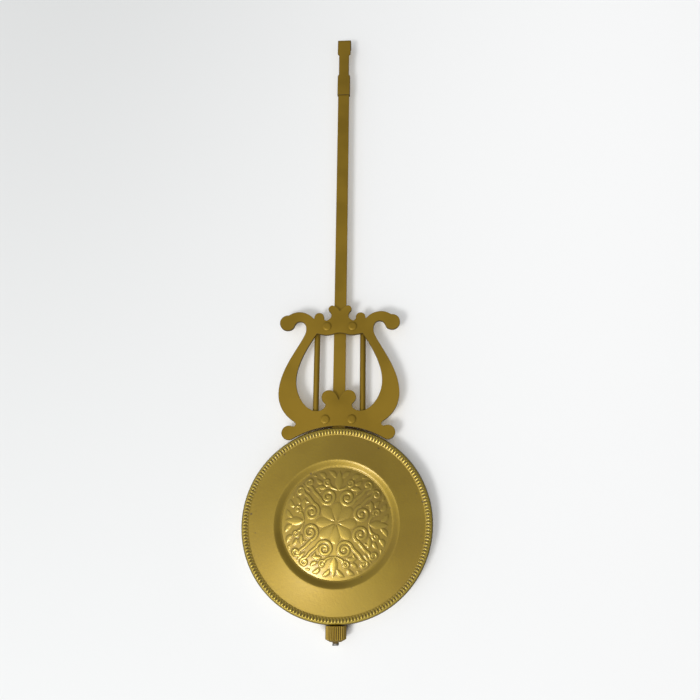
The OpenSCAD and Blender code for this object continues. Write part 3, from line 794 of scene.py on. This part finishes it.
# %% Write the rule of the denticles
FIRST_TOOTH, FLANK = 1000.5, (0.15, 0.6)
denticle_rule = Rule("denticles_round_rim", {
    "Count": 180, "Rise": 0.2 * MM, "Inner Radius": 39.3 * MM, "Full Radius": 40.2 * MM,
    "Fade Radius": 41.0 * MM, "Outer Radius": 41.6 * MM, "Centre Height": BOB_CENTRE.z})
size = denticle_rule.size
across = denticle_rule.places()
above = across.output("Z") - size("Centre Height")
radius, turns = denticle_rule.round_axis(across, above)
step = denticle_rule.maths("FRACT", turns * size("Count") + FIRST_TOOTH)
crest = 1.0 - denticle_rule.maths("ABSOLUTE", step * 2.0 - 1.0)
tooth = denticle_rule.between(crest, *FLANK, -1.2, 0.8)
inside = denticle_rule.between(radius, size("Inner Radius"), size("Full Radius"))
outer_bead = denticle_rule.between(radius, size("Fade Radius"), size("Outer Radius"))
outside = 1.0 - outer_bead
lift = tooth * inside * outside * size("Rise")
# The valleys are marked as edges, for painted shade.
valley = denticle_rule.between(crest, *FLANK, 0.55, 0.0) * inside * outside
# The crests and the smooth outer bead are marked for a painted highlight.
crests = denticle_rule.between(crest, 0.4, 0.75) * inside
rubbed = denticle_rule.maths("MAXIMUM", crests, outer_bead * 0.6)
marked = denticle_rule.stored(denticle_rule.inlet, "edge", valley)
marked = denticle_rule.stored(marked, "rubbed", rubbed)
denticle_rule.end(denticle_rule.shifted(marked, {"Y": 0.0 - lift}))
print("denticle rule:", len(denticle_rule.tree.nodes), "nodes")

# %% [markdown]
# The bead needs eight points across each tooth, but the skirt below it is plain, so the two are
# turned apart, with 1440 and 288 columns, and share one piece. The skirt has the slot that the
# rod slides in and the hole for the stud; these are cut exactly, by a Boolean modifier. The
# corner where bead and skirt meet is marked as an edge, for a dark outline of painted shade.

# %% Press the rim
BEAD_COLUMNS, SKIRT_COLUMNS = 180 * 8, 288
bead_outside = [(38.3, 2.0), (38.9, 2.38), (39.3, 2.46), (40.2, 2.68), (40.9, 2.82), (41.6, 2.7),
                (42.1, 2.34), (42.42, 1.7)]
bead_inside = [(42.1, 1.3), (41.3, 2.1), (40.6, 2.35), (39.4, 1.7), (38.3, 1.45)]
bead = denticle_rule.make(
    "bead", turned("bead", eased(bead_outside, 0.35, 3) + bead_inside, BEAD_COLUMNS, FACE,
                   BOB_CENTRE), bob_gold)

skirt_profile = [(42.36, 2.0), (BOB_RADIUS, 1.4), (BOB_RADIUS, -5.2), (42.2, -5.5), (40.5, -5.5),
                 (40.5, -5.02), (41.6, -5.0), (41.8, -4.8), (41.8, 1.5)]
skirt = turned("skirt", eased(skirt_profile, 0.25, 3, closed=True), SKIRT_COLUMNS, FACE,
               BOB_CENTRE)


def box_mesh(name, low, high):
    work = bmesh.new()
    bmesh.ops.create_cube(work, size=1.0)
    for point in work.verts:
        point.co = Vector([low[i] + (high[i] - low[i]) * (point.co[i] + 0.5) for i in range(3)])
    mesh = bpy.data.meshes.new(name)
    work.to_mesh(mesh)
    work.free()
    return mesh


STUD_RADIUS, ROOM, REACH = 1.5, 0.15, 3
room, reach = ROOM * MM, REACH * MM
rod_slot = box_mesh("rod_slot", (rod_low.x - room, rod_low.y - room, bob_high.z - reach),
                    (rod_high.x + room, rod_high.y + room, bob_high.z + reach))
hole = STUD_RADIUS + ROOM
stud_hole = turned("stud_hole", [(0, -REACH), (hole, -REACH), (hole, REACH), (0, REACH)],
                   48, UPRIGHT, (0, NUT_AXIS.y, bob_low.z))
carrier = in_scene("skirt_cut", skirt)
for name, mesh in (("rod_slot", rod_slot), ("stud_hole", stud_hole)):
    cut = carrier.modifiers.new(name, "BOOLEAN")
    cut.operation, cut.solver = "DIFFERENCE", "EXACT"
    cut.object = in_scene(name, mesh)
skirt = taken_mesh(carrier, "skirt")
for name in ("edge", "rubbed"):
    skirt.attributes.new(name, "FLOAT", "POINT")
for name in ("rod_slot", "stud_hole"):
    tool = bpy.data.objects[name]
    mesh = tool.data
    bpy.data.objects.remove(tool)
    bpy.data.meshes.remove(mesh)
rim = joined("rim", bead, skirt)
edge_shade = rim.attributes["edge"]
valleys = np.zeros(len(rim.vertices))
edge_shade.data.foreach_get("value", valleys)
offset = np.array([tuple(point.co - BOB_CENTRE) for point in rim.vertices]) / MM
# The rim's outer corner is marked as an edge too, for a dark outline of painted shade.
CORNER_RADIUS, CORNER_HEIGHT, CORNER_REACH = 42.2, 1.6, 0.9
far_out = np.hypot(offset[:, 0], offset[:, 2]) > CORNER_RADIUS
at_corner = far_out & (abs(offset[:, 1] + CORNER_HEIGHT) < CORNER_REACH)
edge_shade.data.foreach_set("value", np.maximum(valleys, at_corner))
show("bob_rim", rim, "bob", "bob_brass", bob_gold, ["bob_front"])

# %% [markdown]
# ## The chased medallion
# The middle of the bob carries a traditional rosette: eight broad petals, eight paired volutes,
# and scrolls and leaves towards the edge. It is the same in every half of every quarter, so the
# ornament is drawn once, in an eighth of the circle. A stroke is a line of points with a width
# that swells and thins, like the mark of a chasing tool, and the press spreads each a little. The
# first number of a point runs out along the quarter's axis and the second across it, both in
# millimetres.

# %% Draw the strokes of one eighth
SPREAD = 1.14


def spiral(centre, start, end, first, last, count):
    """Points on a spiral from one radius to another, angles in degrees."""
    turn = np.radians(np.linspace(start, end, count))
    radius = np.linspace(first, last, count)
    return np.stack([centre[0] + radius * np.cos(turn), centre[1] + radius * np.sin(turn)], 1)


def through(points, count=8):
    """A smooth curve through points."""
    p = np.array(points, float)
    p = np.vstack([2 * p[0] - p[1], p, 2 * p[-1] - p[-2]])
    out = [p[1]]
    for a, b, c, d in zip(p, p[1:], p[2:], p[3:]):
        for t in np.linspace(0, 1, count + 1)[1:]:
            out.append(0.5 * (2 * b + (c - a) * t + (2 * a - 5 * b + 4 * c - d) * t * t
                              + (3 * b - a - 3 * c + d) * t ** 3))
    return np.array(out)


def stroke(points, widths, peak):
    """A stroke's points, its half width at each of them, and its height."""
    known = np.linspace(0, 1, len(widths))
    return points, SPREAD * np.interp(np.linspace(0, 1, len(points)), known, widths), peak


def drop(place, half_width, peak):
    """A round drop: a stroke that stays in its place."""
    return np.array([place, place], float), np.array([half_width, half_width]), peak


VOLUTE = (11.2, 4.35)
SCROLL = (17.1, 13.1)
CURL = (17.6, 5.2)
strokes = [
    stroke(spiral(VOLUTE, 105, 640, 3.5, 0.95, 56), [0.7, 0.72, 0.66, 0.53], 0.44),
    drop(VOLUTE, 0.95, 0.44),
    stroke(through([(10.3, 7.75), (11.5, 9.0), (13.2, 10.9), (15.0, 12.2), (16.0, 14.4)]),
           [0.6, 0.7, 0.66, 0.6, 0.5], 0.4),
    stroke(spiral(SCROLL, 140, -230, 1.75, 0.6, 34), [0.58, 0.6, 0.5], 0.38),
    drop(SCROLL, 0.62, 0.38),
    stroke(through([(14.3, 0.4), (15.0, 2.4), (15.7, 3.6), (16.6, 4.0)]),
           [0.2, 0.55, 0.6, 0.5], 0.34),
    stroke(spiral(CURL, 200, -130, 1.5, 0.6, 26), [0.5, 0.55, 0.42], 0.36),
    drop(CURL, 0.6, 0.36),
    stroke(through([(14.9, 5.6), (15.1, 7.2), (15.0, 8.6), (14.5, 9.9)]),
           [0.15, 0.8, 1.0, 0.7, 0.15], 0.36),
    stroke(through([(14.2, 0.0), (22.7, 0.0)], 16), [0.1, 1.0, 1.65, 1.5, 0.9, 0.1], 0.34),
    stroke(through([(19.6, 1.6), (21.3, 2.6), (22.5, 4.6)]), [0.15, 0.85, 0.95, 0.2], 0.32),
    stroke(through([(19.2, 6.3), (20.7, 7.2), (21.4, 9.0)]), [0.15, 0.9, 0.95, 0.2], 0.32),
    stroke(through([(17.0, 7.4), (17.4, 8.8), (18.6, 10.2)]), [0.15, 0.85, 0.8, 0.15], 0.32),
    stroke(through([(12.9, 8.3), (13.9, 8.6), (14.4, 9.4)]), [0.2, 0.55, 0.2], 0.28),
    stroke(through([(13.0, 13.0), (16.4, 16.4)]), [0.15, 0.7, 0.6, 0.1], 0.32),
    stroke(through([(19.9, 10.4), (20.4, 11.2), (20.2, 12.2)]), [0.15, 0.6, 0.2], 0.28),
    drop((7.9, 2.9), 0.4, 0.24),
    stroke(through([(1.2, 0.0), (8.6, 0.0)], 16), [0.2, 0.9, 1.6, 2.0, 1.7, 0.2], 0.2),
    stroke(through([(0.85, 0.85), (6.3, 6.3)], 16), [0.2, 0.95, 1.7, 2.15, 1.8, 0.2], 0.22),
]
print("strokes in one eighth:", len(strokes))

# %% [markdown]
# The height of the relief at a point is the highest of the strokes over it; each is round on top
# and meets the ground steeply. Strokes near the borders of the eighth also act from their mirror
# images, so the ground is continuous there. Petals and leaves get a groove along their middle.

# %% Raise the relief
STEEPNESS = 0.75
GROOVED_FROM, GROOVE_DEPTH, GROOVE_WIDTH = 0.78, 0.3, 0.2


def stroke_height(points, line, widths, peak):
    """The height of one stroke over each point."""
    start, along = line[:-1], line[1:] - line[:-1]
    length = np.maximum((along ** 2).sum(1), 1e-9)
    best = np.zeros(len(points))
    for i in range(len(start)):
        t = np.clip(((points - start[i]) @ along[i]) / length[i], 0, 1)
        gap = np.linalg.norm(points - start[i] - t[:, None] * along[i], axis=1)
        share = gap / (widths[i] + (widths[i + 1] - widths[i]) * t)
        rise = np.clip(1 - share ** 2, 0, 1) ** STEEPNESS
        if widths.max() > GROOVED_FROM:
            rise -= GROOVE_DEPTH * np.exp(-(gap / GROOVE_WIDTH) ** 2) * (rise > 0)
        best = np.maximum(best, rise)
    return best * peak


def relief_height(points):
    height = np.zeros(len(points))
    for line, widths, peak in strokes:
        for image in (line, line * (1, -1), line[:, ::-1]):
            height = np.maximum(height, stroke_height(points, image, widths, peak))
    return height


DOME_RADIUS, DOME_TOP, DOME_EDGE, ROWS, COLUMNS = 24.8, 4.75, 2.1, 118, 640
ORNAMENT_RADIUS, ORNAMENT_FADE, PRESSED = 24.0, 1.2, 0.7
EIGHTH = COLUMNS // 8
radii = np.linspace(0, DOME_RADIUS, ROWS + 1)[1:]
turns = np.arange(EIGHTH + 1) * 2 * math.pi / COLUMNS
grid = np.stack([np.outer(radii, np.cos(turns)), np.outer(radii, np.sin(turns))], 2).reshape(-1, 2)
eighth = relief_height(grid).reshape(ROWS, EIGHTH + 1)
eighth *= PRESSED * np.clip((ORNAMENT_RADIUS - radii) / ORNAMENT_FADE, 0, 1)[:, None]
print("relief: highest", round(float(eighth.max()), 3), "mm, covers",
      round(float((eighth > 0.05).mean()) * 100), "% of the eighth")

# %% [markdown]
# The crown under the relief is part of a large sphere. The eighth is mirrored round the circle,
# turned a little clockwise as on the real bob, and closed behind like pressed sheet. Two marks
# are stored for the finish: how high the relief stands, for a painted highlight on the crests,
# and how deep a point lies between strokes, which is the blurred relief less the relief, for
# painted shade.

# %% Build the medallion
HIGHEST, DEEPEST, TWIST, BACK_TOP = 0.31, 0.09, math.radians(3.0), 3.85
rise = DOME_TOP - DOME_EDGE
sphere = (DOME_RADIUS ** 2 + rise ** 2) / (2 * rise)
around = np.arange(COLUMNS) % (2 * EIGHTH)
around = np.where(around > EIGHTH, 2 * EIGHTH - around, around)
relief = eighth[:, around]
soft = np.mean([np.roll(relief, shift, axis=1) for shift in (-6, -3, 0, 3, 6)], axis=0)
soft = np.mean([np.roll(soft, shift, axis=0) for shift in (-3, 0, 3)], axis=0)
hollow = np.clip((soft - relief) / DEEPEST, 0, 1)

dome = np.sqrt(sphere ** 2 - radii ** 2) - sphere + DOME_TOP
back_radii = np.array([DOME_RADIUS + 0.1, DOME_RADIUS + 0.05, 24.4, 16.0, 8.0])
back_height = np.array([1.7, 1.4, 1.2, 2.9, 3.6])
all_radii = np.concatenate([radii, back_radii])
all_height = np.vstack([dome[:, None] + relief, np.repeat(back_height[:, None], COLUMNS, axis=1)])
angle = np.arange(COLUMNS) * 2 * math.pi / COLUMNS + TWIST
points = np.stack([all_radii[:, None] * np.sin(angle), all_radii[:, None] * np.cos(angle),
                   all_height], 2).reshape(-1, 3)
points = np.vstack([points, [[0, 0, DOME_TOP], [0, 0, BACK_TOP]]])
rows, last = len(all_radii), len(points) - 1
ring = np.arange(COLUMNS)
following = (ring + 1) % COLUMNS
faces = [(last - 1, int(a), int(b)) for a, b in zip(ring, following)]
for row in range(rows - 1):
    low, high = row * COLUMNS, (row + 1) * COLUMNS
    faces += [(int(low + a), int(high + a), int(high + b), int(low + b))
              for a, b in zip(ring, following)]
faces += [(last, int((rows - 1) * COLUMNS + b), int((rows - 1) * COLUMNS + a))
          for a, b in zip(ring, following)]
medallion = bpy.data.meshes.new("medallion")
medallion.from_pydata((points * MM @ np.array(FACE).T + np.array(BOB_CENTRE)).tolist(), [], faces)
face_outwards(medallion)
for name, values in (("relief", relief / HIGHEST), ("hollow", hollow)):
    padded = np.zeros(len(points))
    padded[:values.size] = np.clip(values, 0, 1).ravel()
    store(medallion, name, padded)
show("bob_medallion", medallion, "bob", "bob_brass", medallion_gold, ["bob_front"], crisp=80)

# %% [markdown]
# ## The rating nut
# The nut is turned from brass rod and its band is fluted, so that fingers can turn it. The flutes
# follow a rule again: the points of a turned band move towards the axis by a share of the flute's
# depth that depends on the angle. The rule also stores how deep each point lies, and the finish
# paints it dark there, as painted shade.

# %% Write the rule of the flutes
FLUTES, FIRST_FLUTE, NEAR_AXIS = 28, 100.25, 0.1 * MM
flute_rule = Rule("flutes_round_nut", {
    "Count": FLUTES, "Depth": 0.34 * MM, "Axis Place": NUT_AXIS.y,
    "Band Bottom": nut_low.z + 0.9 * MM, "Band Top": nut_high.z - 0.2 * MM, "Fade": 0.2 * MM,
    "Least Radius": 3.6 * MM})
size = flute_rule.size
x = flute_rule.places()
y, z = x.output("Y") - size("Axis Place"), x.output("Z")
radius, turns = flute_rule.round_axis(x, y)
radius = flute_rule.maths("MAXIMUM", radius, NEAR_AXIS)
step = flute_rule.maths("FRACT", turns * size("Count") + FIRST_FLUTE)
valley = flute_rule.maths("ABSOLUTE", step * 2.0 - 1.0)
groove = 1.0 - flute_rule.between(valley, 0.15, 0.85)
band = (flute_rule.between(z, size("Band Bottom"), size("Band Bottom") + size("Fade"))
        * (1.0 - flute_rule.between(z, size("Band Top") - size("Fade"), size("Band Top")))
        * flute_rule.between(radius, size("Least Radius"), size("Least Radius") + 0.3 * MM))
depth = groove * band
marked = flute_rule.stored(flute_rule.inlet, "flute", depth)
flute_rule.end(flute_rule.sunk(marked, x, y, radius, depth * size("Depth")))
print("flute rule:", len(flute_rule.tree.nodes), "nodes")

# %% [markdown]
# The nut itself is one turned profile: a bore with a chamfered mouth, a cone below, the straight
# band and a low collar on top. Twelve columns for each flute are enough for its round bottom.

# %% Turn and flute the nut
nut_radius = (nut_high.x - nut_low.x) / 2 / MM
nut_height = (nut_high.z - nut_low.z) / MM
BORE, COLLAR, COLLAR_HEIGHT, CONE = 1.55, 2.7, 0.12, 1.0
shoulder = nut_height - COLLAR_HEIGHT
outline = [(BORE, 0.25), (BORE + 0.25, 0.0), (2.55, 0.0), (nut_radius - 0.05, CONE),
           (nut_radius, CONE + 0.15)]
outline += [(nut_radius, h) for h in np.linspace(CONE + 0.4, shoulder - 0.5, 12)]
outline += [(nut_radius, shoulder - 0.15), (nut_radius - 0.15, shoulder), (COLLAR, shoulder),
            (COLLAR, nut_height), (BORE, nut_height)]
nut = turned("nut", eased(outline, 0.1, 2, closed=True), FLUTES * 12, UPRIGHT,
             (0, NUT_AXIS.y, nut_low.z))
show("nut_fluted", flute_rule.make("nut", nut, nut_brass), "nut", "nut_brass", nut_brass,
     ["rating_nut"], crisp=50)

# %% [markdown]
# ## The stud
# The stud is a steel wire with a rolled M3 thread below and a tongue hammered flat above, which
# is riveted behind the rod. A thread is a helix, so the rule is one ramp of height and angle
# together: a point at height z and turn t lies on the crest where z / pitch + t is whole. The
# grooves are marked, and the finish paints them dark, as painted shade. The
# grooves are marked for their grime.

# %% Write the rule of the thread
PITCH, FIRST_CREST, RUNOUT = 0.5, 2000.0, 0.3 * MM
thread_rule = Rule("thread_on_stud", {
    "Pitch": PITCH * MM, "Depth": 0.27 * MM, "Axis Place": NUT_AXIS.y,
    "Runout Bottom": stud_low.z + RUNOUT, "Runout Top": bob_low.z + 12 * MM})
size = thread_rule.size
x = thread_rule.places()
y, z = x.output("Y") - size("Axis Place"), x.output("Z")
radius, turns = thread_rule.round_axis(x, y)
radius = thread_rule.maths("MAXIMUM", radius, NEAR_AXIS)
step = thread_rule.maths("FRACT", z / size("Pitch") + turns + FIRST_CREST)
root = 1.0 - thread_rule.maths("ABSOLUTE", step * 2.0 - 1.0)
threaded = (thread_rule.between(z, size("Runout Bottom"), size("Runout Bottom") + RUNOUT)
            * (1.0 - thread_rule.between(z, size("Runout Top"), size("Runout Top") + MM)))
groove = thread_rule.between(root, 0.12, 0.88) * threaded
marked = thread_rule.stored(thread_rule.inlet, "grime", groove * 0.6)
thread_rule.end(thread_rule.sunk(marked, x, y, radius, groove * size("Depth")))
print("thread rule:", len(thread_rule.tree.nodes), "nodes")

# %% [markdown]
# The end of the real stud is nicked with pliers so that the nut can't be lost: a small sliver of
# the last thread is bent over. Under the nut it shows as a dark hook, partly that sliver and
# partly the shadow in the thread's groove and under the nut's chamfer, with a dark spot beside it.
# Both are made as thin wires that hug the stud, painted dark as painted shade. They lie inside the
# nut's bore, so the nut still passes over them at its lowest.

# %% Turn the stud and bend its burr
TIP_CHAMFER, ROWS_PER_PITCH, BURR_RADIUS = 0.42, 10, 1.34
UNDER_ROD, TONGUE_HALF, TONGUE_THICK, TONGUE_LAP = 2.0, 2.1, 1.1, 1
SHANK_TOP = (rod_low.z - stud_low.z) / MM - UNDER_ROD
steps = int(SHANK_TOP / PITCH * ROWS_PER_PITCH)
outline = [(0, 0.0), (STUD_RADIUS - TIP_CHAMFER, 0.0), (STUD_RADIUS, TIP_CHAMFER)]
outline += [(STUD_RADIUS, h) for h in np.linspace(0.5, SHANK_TOP, steps)] + [(0, SHANK_TOP)]
shank = thread_rule.make("shank", turned("shank", outline, 32, UPRIGHT,
                                         (0, NUT_AXIS.y, stud_low.z)), stud_steel)
tongue = box_mesh(
    "tongue", (-TONGUE_HALF * MM, rod_high.y, stud_low.z + (SHANK_TOP - TONGUE_LAP) * MM),
    (TONGUE_HALF * MM, rod_high.y + TONGUE_THICK * MM, stud_high.z))


def bent_wire(name, path, widths, sides=12):
    """A closed round wire along a path, in metres, that thins by its widths."""
    path = np.array(path, float)
    along = np.gradient(path, axis=0)
    points = []
    for place, ahead, width in zip(path, along, widths):
        ahead = Vector(ahead).normalized()
        side = ahead.cross(Vector((0, 1, 0))).normalized()
        up = side.cross(ahead)
        for k in range(sides):
            turn = 2 * math.pi * k / sides
            points.append(Vector(place) + (side * math.cos(turn) + up * math.sin(turn)) * width)
    rings = len(path)
    faces = [(r * sides + k, r * sides + (k + 1) % sides, (r + 1) * sides + (k + 1) % sides,
              (r + 1) * sides + k) for r in range(rings - 1) for k in range(sides)]
    faces += [tuple(range(sides)), tuple(range((rings - 1) * sides, rings * sides))]
    mesh = bpy.data.meshes.new(name)
    mesh.from_pydata([tuple(p) for p in points], [], faces)
    face_outwards(mesh)
    return mesh


def shade_wire(name, line, widths):
    """A wire that hugs the stud: a line of places across and up its front, all in mm."""
    line = through(line, 6)
    path = [(a * MM, NUT_AXIS.y - math.sqrt(BURR_RADIUS ** 2 - a * a) * MM, stud_low.z + b * MM)
            for a, b in line]
    widths = np.interp(np.linspace(0, 1, len(path)), [0, 0.5, 1], widths) * MM
    return bent_wire(name, path, widths)


burr_and_shade = shade_wire("burr_and_shade", [(1.2, 2.3), (0.5, 1.75), (-0.35, 1.25), (-0.95, 0.65), (-1.25, 0.15)],
            [0.16, 0.2, 0.19])
dent_shade = shade_wire("dent_shade", [(0.35, 0.75), (0.6, 0.62), (0.9, 0.6)], [0.12, 0.2, 0.12])
# The sliver and the spot are painted fully dark, as painted shade; the tongue is not.
for mesh, grime in ((tongue, 0.0), (burr_and_shade, 1.0), (dent_shade, 1.0)):
    store(mesh, "grime", [grime] * len(mesh.vertices))
stud = joined("stud", shank, tongue, burr_and_shade, dent_shade)
show("stud_threaded", stud, "pendulum", "bright_steel", stud_steel, ["threaded_stud"])

# %% [markdown]
# ## Table and backdrop
# The pendulum lies on a white table. Its left is painted greyer and its right brighter, and both
# the more so towards the top: painted shade and light for the room's uneven light. It is seen only
# from the front, where it takes the real shadows; two occlusion nodes paint it lighter within
# 30 mm of the pendulum, as painted light, because the shadows there are pale, and paint it dark
# brown in the narrow gaps under it, as painted shade. From behind the camera looks through it, and
# to everything but the camera it is an even pale glow, so the back of the object is lit as well
# as its face.

# %% Lay the table
UNDER_BOB = 0.3
TABLE_Y = (bob_high.y / MM + UNDER_BOB) * MM
table_mesh = bpy.data.meshes.new("table")
table_mesh.from_pydata([(x, TABLE_Y, z) for x, z in ((-2, -2), (2, -2), (2, 2), (-2, 2))], [],
                       [(0, 1, 2, 3)])
table = in_scene("table", table_mesh)

paper = Finish("white_table")
ray = paper.node("ShaderNodeLightPath", output="Is Camera Ray")
behind = paper.node("ShaderNodeNewGeometry", output="Backfacing")
across = paper.node("ShaderNodeSeparateXYZ", sockets={0: paper.place})
# Painted shade and light: the table is greyer on the left and brighter on the right.
shade = paper.between(across + paper.noise(3, 2) * 0.05, -0.16, 0.20)
far = paper.between(across.output("Z"), -0.42, 0.08)
left = paper.blend(far, rgb(0.77, 0.775, 0.77), rgb(0.72, 0.725, 0.72))
right = paper.blend(far, rgb(0.845, 0.845, 0.84), rgb(0.96, 0.96, 0.955))
open_sky, free = [
    paper.node("ShaderNodeAmbientOcclusion", {"samples": rays}, {"Distance": reach * MM},
               output="AO") for rays, reach in ((8, 30), (16, 8))]
# Painted light lifts the table near the pendulum; painted shade darkens its narrow gaps.
PAINTED_LIGHT_LIFT, PAINTED_GAP_SHADE = rgb(1.4, 1.4, 1.38), rgb(0.10, 0.06, 0.01)
sheet = paper.blend((1.0 - open_sky) * 0.55, paper.blend(shade, left, right), PAINTED_LIGHT_LIFT)
matte = paper.node("ShaderNodeBsdfDiffuse", sockets={
    "Color": paper.blend(paper.between(free, 0.28, 0.52), PAINTED_GAP_SHADE, sheet)})
glow = paper.node("ShaderNodeEmission", sockets={"Color": rgb(1.0, 1.0, 0.98),
                                                 "Strength": 0.3 + behind * 0.7})
clear = paper.node("ShaderNodeBsdfTransparent")
passed = paper.maths("MAXIMUM", ray, ray.output("Is Shadow Ray"))
unseen = paper.node("ShaderNodeMixShader", sockets={0: passed, 1: glow, 2: clear})
shown = paper.node("ShaderNodeMixShader", sockets={0: ray * (1.0 - behind), 1: unseen, 2: matte})
paper.node("ShaderNodeOutputMaterial", sockets={"Surface": shown})
table_mesh.materials.append(paper.material)
print("table faces", tuple(round(c, 2) for c in table_mesh.polygons[0].normal))

# %% [markdown]
# ## Light
# The shadows fall to the right and a little up, and the lower left of every slope is bright: one
# soft lamp stands low on the left, in front. A larger, weaker one beside it softens the
# shadows' edges, the room fills the rest, and a wide sun behind shapes the back. The lamps and
# the room together light a white surface to about its own colour, so the finishes keep their
# colours under any other light.

# %% Set the lamps and the room
TO_KEY = Vector((-0.36, -0.82, -0.445)).normalized()
TO_FILL = Vector((-0.30, -0.88, -0.37)).normalized()
TO_REAR = Vector((-0.35, 0.85, 0.4))
TO_WINDOW = Vector((-0.62, -0.35, -0.70)).normalized()


def area_lamp(name, direction, distance, size, power):
    data = bpy.data.lights.new(name, "AREA")
    data.shape, data.size, data.energy = "SQUARE", size, power
    lamp = in_scene(name, data)
    lamp.location = BOB_CENTRE + direction * distance
    lamp.rotation_euler = direction.to_track_quat("Z", "Y").to_euler()


area_lamp("key", TO_KEY, 1.1, 0.26, 4.9)
area_lamp("fill", TO_FILL, 1.5, 1.2, 3.0)
rear = bpy.data.lights.new("rear", "SUN")
rear.energy, rear.angle = 2.2, math.radians(25)
in_scene("rear", rear).rotation_euler = TO_REAR.to_track_quat("Z", "Y").to_euler()

room = bpy.data.worlds.new("room")
room.use_nodes = True
bpy.context.scene.world = room
air = Tree(room.node_tree)
room.node_tree.nodes.clear()
ray = air.node("ShaderNodeLightPath", output="Is Camera Ray")
towards = air.node("ShaderNodeVectorMath", {"operation": "DOT_PRODUCT"},
                   {0: air.node("ShaderNodeTexCoord", output="Generated"), 1: TO_WINDOW},
                   output="Value")
wall = air.blend(air.between(towards, -0.7, 0.6), rgb(0.31, 0.31, 0.31), rgb(0.88, 0.89, 0.90))
lit = air.node("ShaderNodeBackground", sockets={"Color": wall, "Strength": 1.0})
seen = air.node("ShaderNodeBackground", sockets={"Color": rgb(0.90, 0.90, 0.895), "Strength": 1.0})
air.node("ShaderNodeOutputWorld", sockets={
    "Surface": air.node("ShaderNodeMixShader", sockets={0: ray, 1: lit, 2: seen})})
bpy.context.scene.view_settings.view_transform = "Standard"
print("lamps:", [light.name for light in bpy.data.lights])
